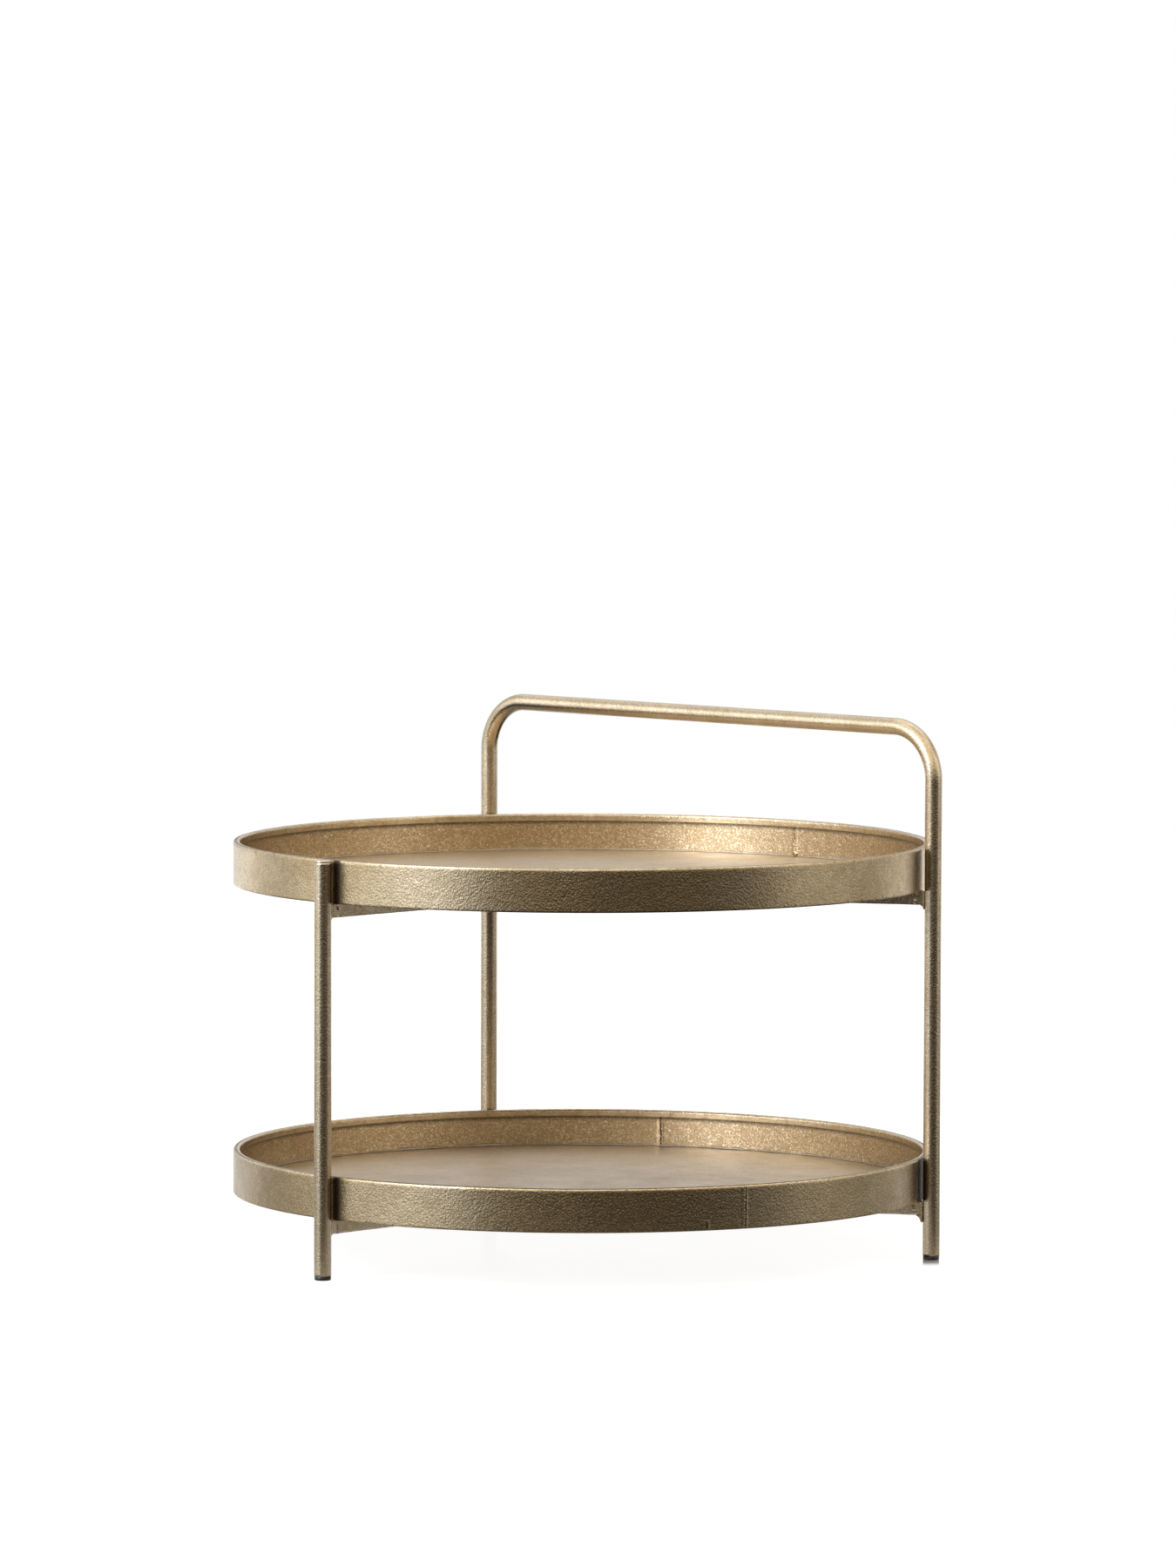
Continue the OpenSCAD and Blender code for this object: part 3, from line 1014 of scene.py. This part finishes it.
SEAMS = {
    # tray: angle, side of the wall (1 outside, -1 inside), from and to in mm, lean in mm, how it has worn
    "upper": ((95.15, -1, 4.3, 34.5, 1.8, "blob"),),
    "lower": (
        (120.67, -1, 4.3, 34.5, 0.4, "beads"),
        (341.38, 1, 0.3, 38.0, 0.8, "line"),
        (334.72, 1, 0.25, 9.5, -0.5, "nick"),
    ),
}
# Steps across and up a joint's patch, and half its width
SEAM_WIDE, SEAM_TALL, SEAM_HALF = 32, 110, 4 * MM


def seam_lumps(z0, z1, side, kind, rng):
    """Lumps of a worn joint: across, height, radius and how far each stands out."""
    if kind == "nick":
        return [(0.0, z0, 0.5 * MM, 0.05 * MM)]
    lumps = []
    z = z0 + 1.5 * MM
    end = z0 + 0.62 * (z1 - z0) if kind == "blob" else z1
    stand = {"line": 0.2, "beads": 0.45, "blob": 0.15}[kind]
    while z < end:
        across = -side * rng.uniform(0.3, 1.0) * MM
        lumps.append((across, z, rng.uniform(0.7, 1.2) * MM, rng.uniform(0.5, 1.1) * stand * MM))
        z += rng.uniform(1.6, 3.2) * MM
    if kind == "blob":
        lumps += [(0.0, z0 + 2.4 * MM, 2.2 * MM, 0.9 * MM), (1.2 * MM, z0 + 4.0 * MM, 1.4 * MM, 0.4 * MM)]
    return lumps


def bell(value, width):
    """1 at 0, and falling off within about the width."""
    return math.exp(-((value / width) ** 2))


def split_at(d, up, tall, z, angle, side, kind):
    """How open the joint is at a place: 1 in the middle of its crack."""
    ragged = 0.35 + 0.65 * (noise.noise(Vector((z * 520, angle, 3.0))) > -0.12)
    if kind == "blob":
        under = math.hypot(d, (up - 2.6 * MM) * 1.2) - 2.4 * MM
        hook = bell(under, 0.8 * MM) * (up < 2.8 * MM)
        return max(bell(d, 0.75 * MM) * (up > 0.55 * tall) * ragged, hook)
    if kind == "nick":
        bent = d + 3.0 * MM * max(0.0, 1 - up / (2.4 * MM)) ** 2
        return min(1.0, 1.4 * bell(bent, 0.9 * MM) * (up < tall - 1 * MM))
    return bell(d - side * 0.9 * MM, 0.7 * MM) * ragged


def on_wall(base, angle, r, z):
    """A place on the wall, from its angle, radius and height."""
    return (base.x + r * math.cos(angle), base.y + r * math.sin(angle), base.z + z)


def patch_faces():
    """Faces of a joint's patch: its front, its rear behind it, and the strip round the two."""
    faces, row = [], SEAM_WIDE + 1
    rear = row * (SEAM_TALL + 1)
    for j in range(SEAM_TALL):
        for i in range(SEAM_WIDE):
            k = j * row + i
            faces.append((k, k + 1, k + row + 1, k + row))
            faces.append((rear + k, rear + k + row, rear + k + row + 1, rear + k + 1))
    rim = list(range(SEAM_WIDE)) + [j * row + SEAM_WIDE for j in range(SEAM_TALL)]
    rim += [SEAM_TALL * row + i for i in range(SEAM_WIDE, 0, -1)]
    rim += [j * row for j in range(SEAM_TALL, 0, -1)]
    return faces + [(b, a, rear + a, rear + b) for a, b in zip(rim, rim[1:] + rim[:1])]


def seam_mesh(name, base, face_r, angle, side, low, high, lean, kind, rng):
    """A worn joint in a wall: a row of lumps beside a crack, on a thin patch let into the wall's face."""
    angle, z0, z1 = math.radians(angle), low * MM, high * MM
    tall = z1 - z0
    lumps = seam_lumps(z0, z1, side, kind, rng)
    front, rear, crack_and_shade = [], [], []
    for j in range(SEAM_TALL + 1):
        z = z0 + tall * j / SEAM_TALL
        drift = lean * MM * (j / SEAM_TALL - 0.5) + 0.5 * MM * noise.noise(Vector((z * 160, angle, 0.0)))
        for i in range(SEAM_WIDE + 1):
            u = (2 * i / SEAM_WIDE - 1) * SEAM_HALF
            d = u - drift
            fade = max(0.0, 1 - (abs(u) / SEAM_HALF) ** 4)
            lump = max(h * math.exp(-2 * ((d - x) ** 2 + (z - y) ** 2) / s**2) for x, y, s, h in lumps)
            split = split_at(d, z - z0, tall, z, angle, side, kind)
            out = (lump + 0.17 * MM) * fade - 0.25 * MM * (1 - fade) - split * 0.14 * MM
            front.append(on_wall(base, angle + u / face_r, face_r + side * out, z))
            rear.append(on_wall(base, angle + u / face_r, face_r - side * 0.8 * MM, z))
            # Inside, the patch carries the painted shade under the lip as well
            lip = float(shade_under_lip(z)) if side < 0 else 0.0
            crack_and_shade.append(max(lip, min(1.0, split * 1.3) * min(1.0, fade * 2)))
    mesh = mesh_of(name, front + rear, patch_faces())
    mark(mesh, "crack_and_shade", crack_and_shade + [0.0] * len(rear))
    mark(mesh, "inner", [float(side < 0)] * len(front + rear))
    return outward(mesh)


def joined(name, meshes):
    """One mesh of several, with their vertex marks."""
    shell = bmesh.new()
    for mesh in meshes:
        shell.from_mesh(mesh)
    whole = bpy.data.meshes.new(name)
    shell.to_mesh(whole)
    shell.free()
    return whole


class TABLE_OT_wall_seams(bpy.types.Operator):
    """Make the worn joints in the tray walls"""

    bl_idname = "table.wall_seams"
    bl_label = "Wall seams"

    def execute(self, context):
        t = settings().trays
        rng = np.random.default_rng(settings().surface.seed)
        for tray, rows in SEAMS.items():
            base = wall_base(tray)
            parts = []
            for angle, side, *rest in rows:
                face_r = t.radius if side > 0 else t.radius - t.wall_thickness
                parts.append(seam_mesh(tray, base, face_r, angle, side, *rest, rng))
            name = tray + "_worn_joint"
            shown(name, joined(name, parts), tray + "_wall_seam", finish_of("wall"))
        return {"FINISHED"}


# Legs, handle and feet

# Steps round the disc and the feet
ROUND_SEGMENTS = 64


def ends_closed(mesh):
    """Joins a tube's outer skin to its bore at each end."""
    shell = bmesh.new()
    shell.from_mesh(mesh)
    ends = {}
    for edge in shell.edges:
        if edge.is_boundary:
            centre = (edge.verts[0].co + edge.verts[1].co) / 2
            end = round(centre.x / 0.05), round(centre.y / 0.05), round(centre.z / 0.02)
            ends.setdefault(end, []).append(edge)
    for edges in ends.values():
        bmesh.ops.bridge_loops(shell, edges=edges)
    shell.to_mesh(mesh)
    shell.free()
    return mesh


def disc_section(drop, thick):
    """The short leg's disc cut across: a plug in the bore, and a head with a round edge."""
    s = settings().tubes
    r, bore = s.radius - 0.05 * MM, s.radius - s.wall_thickness - 0.3 * MM
    section = [(0, -drop), (bore, -drop), (bore, 0), (r - 0.2 * MM, 0)]
    section += arc(r - 0.2 * MM, 0.2 * MM, 0.2 * MM, -90, 0, 2)
    section += arc(r - 1.2 * MM, thick - 1.25 * MM, 1.2 * MM, 0, 90, 5)
    return section + [(r * part, thick - 0.03 * MM) for part in (0.7, 0.5, 0.3, 0.1, 0)]


class TABLE_OT_tubes(bpy.types.Operator):
    """Make the bent tube of the handle and its two legs, and the short leg with its disc"""

    bl_idname = "table.tubes"
    bl_label = "Legs and handle"

    def execute(self, context):
        s = settings().tubes
        tree = built_once("Bent tube", build_tube)
        right, back, front = (leg_axis(name) for name, _ in LEGS)
        low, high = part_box("handle_hoop")
        up = high.z - s.radius
        hoop = [(*right.xy, low.z), (*right.xy, up), (*back.xy, up), (*back.xy, low.z)]
        low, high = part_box("front_leg")
        short = [(*front.xy, low.z), (*front.xy, high.z)]
        values = {
            "Bend radius": s.bend_radius,
            "Tube radius": s.radius,
            "Bore radius": s.radius - s.wall_thickness,
            "Step": 1.6 * MM,
            "Segments": s.segments,
            **weather_values(finish_of("tube"), 0.8, 0.7, 0.0, 4),
        }
        rows = ("bent_tube", hoop, "handle_hoop"), ("short_leg_tube", short, "front_leg")
        for name, line, node in rows:
            mesh = grown(name, loop_of_edges(name, line, closed=False), tree, values)
            shown(name, outward(ends_closed(mesh)), node)
        disc_low, disc_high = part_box("front_leg_cap")
        section = disc_section(high.z - disc_low.z, disc_high.z - high.z)
        disc = lathe("short_leg_disc", section, ROUND_SEGMENTS, Vector((*front.xy, high.z)))
        roughened(disc, 0.05 * MM, 3 * MM, 2, 0)
        shown("short_leg_disc", disc, "front_leg_cap", finish_of("tube"))
        return {"FINISHED"}


def foot_section():
    """A foot cut across: the pad with its round edge, then a stem with three fins."""
    s = settings().tubes
    height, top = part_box("front_leg")[0].z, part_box("foot_front")[1].z
    pad, bore = s.radius - 0.4 * MM, s.radius - s.wall_thickness - 0.3 * MM
    core = bore - 1.5 * MM
    section = [(0, 0), (pad - 1 * MM, 0)] + arc(pad - 0.8 * MM, 0.8 * MM, 0.8 * MM, -90, 0, 5)
    section += [(pad, height - 0.2 * MM), (pad - 0.2 * MM, height), (core, height)]
    for z in (8, 12, 16):
        section += [(core, (z - 1.2) * MM), (bore, z * MM), (bore, (z + 0.6) * MM), (core, (z + 1.2) * MM)]
    return section + [(core, top - 0.5 * MM), (core - 0.5 * MM, top), (0, top)]


class TABLE_OT_feet(bpy.types.Operator):
    """Make the three push-in feet"""

    bl_idname = "table.feet"
    bl_label = "Feet"

    def execute(self, context):
        section = foot_section()
        for leg, _ in LEGS:
            mesh = lathe("foot_pad_" + leg, section, ROUND_SEGMENTS, leg_axis(leg))
            shown("foot_pad_" + leg, mesh, "foot_" + leg, finish_of("foot"))
        return {"FINISHED"}


# Arms

# How far the mitre and the cope reach along an arm, and the start of the arms' noise
MITRE_RUN, COPE_RUN = 12 * MM, 14 * MM
ARM_SEED = 5


def bar_outline(top, bottom, half, soft):
    """A flat bar on edge cut across, as (y, z) points: four steps over each end, eight up each side."""
    y, high, low = half - soft, top - soft, bottom + soft
    corners = [
        arc(*centre, soft, 90 * k, 90 * k + 90, 3)
        for k, centre in enumerate(((y, high), (-y, high), (-y, low), (y, low)))
    ]
    points = []
    for k, corner in enumerate(corners):
        points += corner[:-1] + between(corner[-1], corners[(k + 1) % 4][0], 8 if k % 2 else 4)
    return points


def arm_mesh(name, base, angle, reach, seed):
    """A flat bar on edge: mitred at the middle, notched under the wall, coped round its leg, edges soft."""
    s, t = settings().tubes, settings().trays
    half, soft = s.arm_thickness / 2, 0.5 * MM
    bottom = t.floor_lift - s.arm_depth
    notch = t.radius - t.wall_thickness - s.notch_run
    cope = s.radius + 0.1 * MM
    full, low = (bar_outline(top, bottom, half, soft) for top in (t.floor_lift, 0.0))
    stations = [(x, full) for x in np.linspace(0, notch, 150)]
    stations += [(notch + (reach - notch) * k / 10, low) for k in range(11)]
    points = []
    for x, outline in stations:
        near = max(0.0, 1 - x / MITRE_RUN) / math.tan(math.radians(60))
        far = max(0.0, (x - (reach - COPE_RUN)) / COPE_RUN)
        for y, z in outline:
            points.append((x + near * abs(y) - far * math.sqrt(max(0.0, cope**2 - y**2)), y, z))
    mesh = outward(mesh_of(name, points, bar_faces(len(stations), len(full))))
    y, z = np.abs(rows_of(mesh)[:, 1]), rows_of(mesh)[:, 2]
    to_flat_end = np.minimum(np.abs(z - bottom), np.abs(z - t.floor_lift))
    mark(mesh, "edge", ((np.abs(y - half) < soft) & (to_flat_end < soft)) * 0.8)
    mesh.transform(Matrix.Translation(base) @ Matrix.Rotation(angle, 4, "Z"))
    return roughened(mesh, 0.22 * MM, 7 * MM, 3, seed)


class TABLE_OT_arms(bpy.types.Operator):
    """Make the three flat arms under each tray"""

    bl_idname = "table.arms"
    bl_label = "Arms"

    def execute(self, context):
        for tray in TRAYS:
            base = wall_base(tray)
            for place, (leg, angle) in enumerate(LEGS):
                axis = leg_axis(leg)
                reach = math.hypot(axis.x - base.x, axis.y - base.y)
                name = f"{tray}_flat_arm_{leg}"
                mesh = arm_mesh(name, base, math.radians(angle), reach, ARM_SEED + place)
                shown(name, mesh, f"{tray}_arm_{leg}", finish_of("arm"))
        return {"FINISHED"}


# Welds of the arms

BEAD_SHARES = {
    # tray: the share of the CAD bead's size that each leg's bead has
    "upper": {"right": 0.75, "back": 0.8, "front": 0.4},
    "lower": {"right": 1.2, "back": 0.8, "front": 0.4},
}
# Start of the beads' noise
WELD_SEED = 2
# Size of the cells that round a CAD bead off, and how far it then grows
WELD_CELL, WELD_GROWTH = 0.4 * MM, 0.45 * MM
# A tack bead's leg and length, and where the three on each side of an arm start, in mm from the trays' axis
TACK_LEG, TACK_LONG = 3 * MM, 20 * MM
TACK_STARTS = (80, 170, 260)


def weld_from_node(name, node, seed):
    """A weld bead drawn from its CAD node: rounded off, grown a little into what it joins, and lumpy."""
    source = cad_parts[node].data.copy()
    shell = bmesh.new()
    shell.from_mesh(source)
    bmesh.ops.remove_doubles(shell, verts=shell.verts[:], dist=1e-6)
    shell.to_mesh(source)
    shell.free()
    carrier = linked(name + "_carrier", source)
    remesh = carrier.modifiers.new("round", "REMESH")
    remesh.mode, remesh.voxel_size = "VOXEL", WELD_CELL
    soften = carrier.modifiers.new("soften", "SMOOTH")
    soften.factor, soften.iterations = 0.5, 4
    mesh = evaluated(carrier, name)
    if "custom_normal" in mesh.attributes:
        mesh.attributes.remove(mesh.attributes["custom_normal"])
    outward(mesh)
    put_points(mesh, rows_of(mesh) + rows_of(mesh, "normal") * WELD_GROWTH)
    return roughened(mesh, 0.5 * MM, 2.6 * MM, 2, seed)


def drawn_in(mesh, base, shares):
    """Draws each leg's bead in towards the corner that it fills, to its share of its size."""
    s, t = settings().tubes, settings().trays
    half, bottom = s.arm_thickness / 2, base.z + t.floor_lift - s.arm_depth
    co = rows_of(mesh)
    for leg, angle in LEGS:
        axis, part = leg_axis(leg), shares[leg]
        in_x, in_y = -math.cos(math.radians(angle)), -math.sin(math.radians(angle))
        x, y, z = co[:, 0] - axis.x, co[:, 1] - axis.y, co[:, 2]
        along, across = x * in_x + y * in_y, y * in_x - x * in_y
        near = np.hypot(along, across) < 30 * MM
        side, across = np.sign(across), np.abs(across)
        across = side * np.where(across > half, half + (across - half) * part, across)
        skin = np.sqrt(np.maximum(0, s.radius**2 - across**2))
        along = np.where(along > skin, skin + (along - skin) * part, along)
        z = np.where(z < bottom, bottom - (bottom - z) * part, z)
        x, y = axis.x + along * in_x - across * in_y, axis.y + along * in_y + across * in_x
        co = np.where(near[:, None], np.stack([x, y, z], 1), co)
    put_points(mesh, co)


def tack_bead():
    """The mesh of one tack bead: a fillet with a hollow face, its ends drawn in."""
    section = [(-0.3 * MM, 0.3 * MM), (-0.3 * MM, -TACK_LEG)]
    for a in (0.25, 0.6, 0.95, 1.3):
        section.append((TACK_LEG * (1 - math.sin(a)) - 0.1 * MM, -TACK_LEG * (1 - math.cos(a))))
    section.append((TACK_LEG, 0.3 * MM))
    steps, points = 26, []
    for j in range(steps + 1):
        x = (j / steps - 0.5) * TACK_LONG
        full = math.sqrt(max(0.02, 1 - (2 * abs(x) / TACK_LONG) ** 6)) * (1 + 0.07 * math.sin(j * 2.4))
        points += [(x, y * full if y > 0 else y, z * full if z < 0 else z) for y, z in section]
    return outward(mesh_of("tack_bead", points, bar_faces(steps + 1, len(section))))


def tack_spots(tray):
    """A mesh with a vertex where each tack bead of a tray stands, marked with the bead's turn."""
    base = wall_base(tray)
    height = base.z + settings().trays.floor_lift
    places, turns = [], []
    for _, angle in LEGS:
        a = math.radians(angle)
        for side in (1, -1):
            for start in TACK_STARTS:
                x, y = start * MM + TACK_LONG / 2, side * settings().tubes.arm_thickness / 2
                east, north = x * math.cos(a) - y * math.sin(a), x * math.sin(a) + y * math.cos(a)
                places.append((base.x + east, base.y + north, height))
                turns.append(a + (0 if side > 0 else math.pi))
    spots = mesh_of(tray, places)
    mark(spots, "turn", turns)
    return spots


class TABLE_OT_arm_welds(bpy.types.Operator):
    """Make the welds that hold the arms to the legs, to each other and to the floors"""

    bl_idname = "table.arm_welds"
    bl_label = "Arm welds"

    def execute(self, context):
        for seed, tray in enumerate(TRAYS):
            for kind in ("leg", "hub"):
                name = f"{tray}_{kind}_bead"
                mesh = weld_from_node(name, f"{tray}_{kind}_welds", WELD_SEED + seed)
                if kind == "leg":
                    drawn_in(mesh, wall_base(tray), BEAD_SHARES[tray])
                shown(name, mesh, f"{tray}_{kind}_welds", finish_of("weld"))
        bead = linked("tack_bead", tack_bead())
        tree = built_once("Beads on points", build_beads)
        for seed, tray in enumerate(TRAYS):
            name = tray + "_tack_beads"
            values = {"Bead": bead, **weather_values(finish_of("weld"), 0.0, 2.0, 0.0, seed)}
            mesh = grown(name, tack_spots(tray), tree, values)
            shown(name, outward(mesh), tray + "_tack_welds", finish_of("weld"))
        bpy.data.objects.remove(bead)
        return {"FINISHED"}


# Studio

# Tints of the lamps
COOL, PLAIN = (0.88, 1.0, 1.26), (1.0, 0.98, 0.95)

LAMPS = (
    # name, azimuth from the camera's side to the right in degrees, height, distance, width, tall,
    # power, and tint
    ("key_softbox", -52, 0.8, 2.2, 0.8, 1.6, 3.4, COOL),
    ("high_softbox", -49, 1.4, 2.6, 0.5, 0.9, 16.5, COOL),
    ("left_panel", -85, 0.95, 2.2, 1.5, 1.9, 6.0, PLAIN),
    ("back_left_panel", -130, 0.95, 2.2, 1.5, 1.9, 3.0, PLAIN),
    ("right_panel", 80, 0.85, 2.2, 1.4, 1.7, 3.5, PLAIN),
    ("back_right_panel", 125, 0.85, 2.2, 1.4, 1.7, 1.5, PLAIN),
)

SKY = (
    # azimuth from the camera's side to the right, height and half width in degrees, strength, and
    # warmth: 0 is pale, 1 is warm, and below 0 is cooler
    (-130, 6, 30, 0.2, 0),
    (-105, 6, 34, 0.42, 0),
    (-80, 6, 34, 0.34, -0.4),
    (-55, 6, 30, 0.72, -0.4),
    (5, 0, 45, 0.05, 1),
    (70, 6, 32, 0.14, 0),
    (95, 6, 32, 0.28, 0),
    (128, 4, 26, 0.4, 0),
    (-45, 24, 26, 1.0, -0.4),
    (-10, 24, 26, 0.54, 0),
    (25, 24, 26, 0.16, 0),
    (60, 24, 26, 0.28, 0),
    (-80, 38, 45, 1.05, -0.4),
    (-20, 38, 45, 0.72, 0.7),
    (40, 38, 45, 0.63, 0.7),
    (100, 38, 45, 0.52, 0.7),
    (0, 90, 55, 0.9, 0),
    (180, 50, 45, 1.05, 0),
)
SKY_PALE, SKY_WARM = (1.0, 0.97, 0.92), (1.0, 0.83, 0.57)
WHITE = (1, 1, 1, 1)
# The middle of a pale patch of floor that only metal shows. It lights the handle's underside.
PATCH_PLACE = (-0.55, 0.1, 0.0)
# Height of the table's middle
TABLE_MIDDLE = 0.25


def behind(heading):
    """The level direction from the camera past the table."""
    return (-math.sin(heading), math.cos(heading), 0.0)


def direction(heading, azimuth, height):
    """A unit vector. The azimuth is counted from the camera's side, to the right, both in degrees."""
    a, h = heading - math.pi / 2 + math.radians(azimuth), math.radians(height)
    return (math.cos(h) * math.cos(a), math.cos(h) * math.sin(a), math.sin(h))


def seen_in_metal(n, path):
    """1 for a ray that has been mirrored or has passed through something."""
    return n.larger(path["Is Glossy Ray"], path["Is Transmission Ray"])


def floor_material(heading, polished_shadow_spot):
    """White to the camera, with the table's faint shadow. Metal mirrors it under the table and far behind.

    Round the place called polished_shadow_spot its glow is cut and it mirrors what stands there: a painted
    shadow under that foot."""
    material = bpy.data.materials.new("studio_floor")
    material.use_nodes = True
    n = Nodes(material.node_tree)
    n.tree.nodes.clear()
    path = n.add("ShaderNodeLightPath").outputs
    place = n.add("ShaderNodeTexCoord").outputs["Object"]
    # Painted shadow and polish: up to 15 mm from that place the glow is cut and the floor mirrors, and hardly
    # at all from 55 mm on
    shine_and_shadow = n.ramp(n.distance(place, tuple(polished_shadow_spot)), 0.055, 0.015, 0.04, 0.9)
    out = n.size(place)
    # Painted shade: the glow is a little dimmer within 0.9 m of the middle, so the lamps' shadow shows under
    # the table; round the right foot the painted shadow cuts it
    glow = n.minus(n.ramp(out, 0.4, 0.9, 0.94, 0.99), shine_and_shadow)
    white = n.add("ShaderNodeEmission", {"Color": WHITE, "Strength": glow})
    matt = n.add("ShaderNodeBsdfDiffuse", {"Color": (0.2, 0.2, 0.2, 1)})
    shine_colour = n.add("ShaderNodeCombineXYZ", {axis: shine_and_shadow for axis in "XYZ"}).outputs[0]
    gloss = n.add("ShaderNodeBsdfGlossy", {"Color": shine_colour, "Roughness": 0.1})
    seen = n.add("ShaderNodeAddShader", {0: white.outputs[0], 1: matt.outputs[0]})
    seen = n.add("ShaderNodeAddShader", {0: seen.outputs[0], 1: gloss.outputs[0]})
    # Metal shows the floor far behind the table, under it, and in the pale patch
    far_behind = n.ramp(n.dot(place, behind(heading)), 0.8, 2.8)
    lit = n.larger(far_behind, n.ramp(out, 0.34, 0.5, 0.35, 0.0))
    lit = n.larger(lit, n.ramp(n.distance(place, PATCH_PLACE), 0.3, 0.5, 0.22, 0.0))
    mirrored = n.times(seen_in_metal(n, path), lit)
    front = n.minus(1.0, n.add("ShaderNodeNewGeometry").outputs["Backfacing"])
    shows = n.times(front, n.larger(path["Is Camera Ray"], mirrored))
    clear = n.add("ShaderNodeBsdfTransparent")
    whole = n.add("ShaderNodeMixShader", {0: shows, 1: clear.outputs[0], 2: seen.outputs[0]})
    n.add("ShaderNodeOutputMaterial", {"Surface": whole.outputs[0]})
    return material


def stage_floor(radius, heading, polished_shadow_spot):
    """A round, level sheet under the table."""
    segments = 96
    angles = [2 * math.pi * i / segments for i in range(segments)]
    rim = [(radius * math.cos(a), radius * math.sin(a), 0) for a in angles]
    floor = linked("studio_floor", mesh_of("studio_floor", rim, [range(segments)]))
    floor.data.materials.append(floor_material(heading, polished_shadow_spot))


def add_lamp(name, azimuth, height, distance, width, tall, power, tint):
    """A softbox that faces the middle of the table."""
    data = bpy.data.lights.new(name, "AREA")
    data.shape, data.size, data.size_y = "RECTANGLE", width, tall
    data.energy, data.color = power, tint
    lamp = linked(name, data)
    x, y, _ = direction(settings().studio.heading, azimuth, 0)
    lamp.location = (distance * x, distance * y, height)
    aim = Vector((0, 0, TABLE_MIDDLE)) - lamp.location
    lamp.rotation_euler = aim.to_track_quat("-Z", "Y").to_euler()


def studio_world(heading):
    """White to the camera. Metal shows that white behind the table, and round it the softly lit room."""
    world = bpy.data.worlds.new("studio")
    bpy.context.scene.world = world
    world.use_nodes = True
    n = Nodes(world.node_tree)
    n.tree.nodes.clear()
    path = n.add("ShaderNodeLightPath").outputs
    way = n.add("ShaderNodeTexCoord").outputs["Generated"]
    total = (0.0, 0.0, 0.0)
    for azimuth, height, width, strength, warmth in SKY:
        towards = n.dot(way, direction(heading, azimuth, height))
        level = n.ramp(towards, math.cos(math.radians(width)), 1.0)
        tint = tuple(strength * (pale + (warm - pale) * warmth) for pale, warm in zip(SKY_PALE, SKY_WARM))
        total = n.vectors("ADD", total, n.scaled(tint, level))
    room = n.add("ShaderNodeBackground", {"Color": total, "Strength": 1.0})
    white = n.add("ShaderNodeBackground", {"Color": WHITE, "Strength": 1.0})
    away = n.dot(way, behind(heading))
    backdrop = n.plus(n.ramp(away, 0.55, 0.85, 0.0, 0.7), n.ramp(away, 0.97, 0.99, 0.0, 0.3))
    mirrored = n.times(seen_in_metal(n, path), backdrop)
    shows = n.larger(path["Is Camera Ray"], mirrored)
    whole = n.add("ShaderNodeMixShader", {0: shows, 1: room.outputs[0], 2: white.outputs[0]})
    n.add("ShaderNodeOutputWorld", {"Surface": whole.outputs[0]})


def add_camera(s):
    """The camera where the settings put it, turned by its heading, tilt and roll."""
    data = bpy.data.cameras.new("camera")
    data.lens, data.sensor_width, data.sensor_fit = s.lens, 36, "AUTO"
    data.clip_start, data.clip_end = 0.1, 100
    camera = linked("camera", data)
    axis = wall_base("upper")
    x, y, _ = behind(s.heading)
    camera.location = (axis.x - s.distance * x, axis.y - s.distance * y, s.height)
    turned = Matrix.Rotation(s.heading + s.aim, 3, "Z")
    turned = turned @ Matrix.Rotation(math.pi / 2 - s.tilt, 3, "X") @ Matrix.Rotation(s.roll, 3, "Z")
    camera.rotation_euler = turned.to_euler()
    bpy.context.scene.camera = camera


class TABLE_OT_studio(bpy.types.Operator):
    """Set up the pale floor, the soft lamps and the camera"""

    bl_idname = "table.studio"
    bl_label = "Studio"

    def execute(self, context):
        s = settings().studio
        context.scene.view_settings.view_transform = "Standard"
        add_camera(s)
        stage_floor(s.floor_radius, s.heading, leg_axis("right"))
        studio_world(s.heading)
        for row in LAMPS:
            add_lamp(*row)
        return {"FINISHED"}


class TABLE_PT_panel(bpy.types.Panel):
    """Lists the pieces and their settings"""

    bl_idname = "TABLE_PT_panel"
    bl_label = "Round Two-Tier Table"
    bl_space_type = "VIEW_3D"
    bl_region_type = "UI"
    bl_category = "Table"

    def draw(self, context):
        for operator in OPERATORS:
            self.layout.operator(operator.bl_idname)
        for name in TableSettings.__annotations__:
            group = getattr(settings(), name)
            box = self.layout.box()
            for key in group.__annotations__:
                box.prop(group, key)


OPERATORS = (
    TABLE_OT_studio,
    TABLE_OT_tray_walls,
    TABLE_OT_tray_floors,
    TABLE_OT_floor_welds,
    TABLE_OT_wall_seams,
    TABLE_OT_tubes,
    TABLE_OT_feet,
    TABLE_OT_arms,
    TABLE_OT_arm_welds,
)
GROUPS = (TraySizes, TubeSizes, SurfaceWork, LeafColours, StudioSettings, TableSettings)
CLASSES = GROUPS + OPERATORS + (TABLE_PT_panel,)


def register():
    for cls in CLASSES:
        bpy.utils.register_class(cls)
    bpy.types.Scene.table_settings = PointerProperty(type=TableSettings)


def unregister():
    del bpy.types.Scene.table_settings
    for cls in reversed(CLASSES):
        bpy.utils.unregister_class(cls)


def main():
    register()
    for operator in OPERATORS:
        getattr(bpy.ops.table, operator.bl_idname.split(".")[1])()


if __name__ == "__main__":
    main()
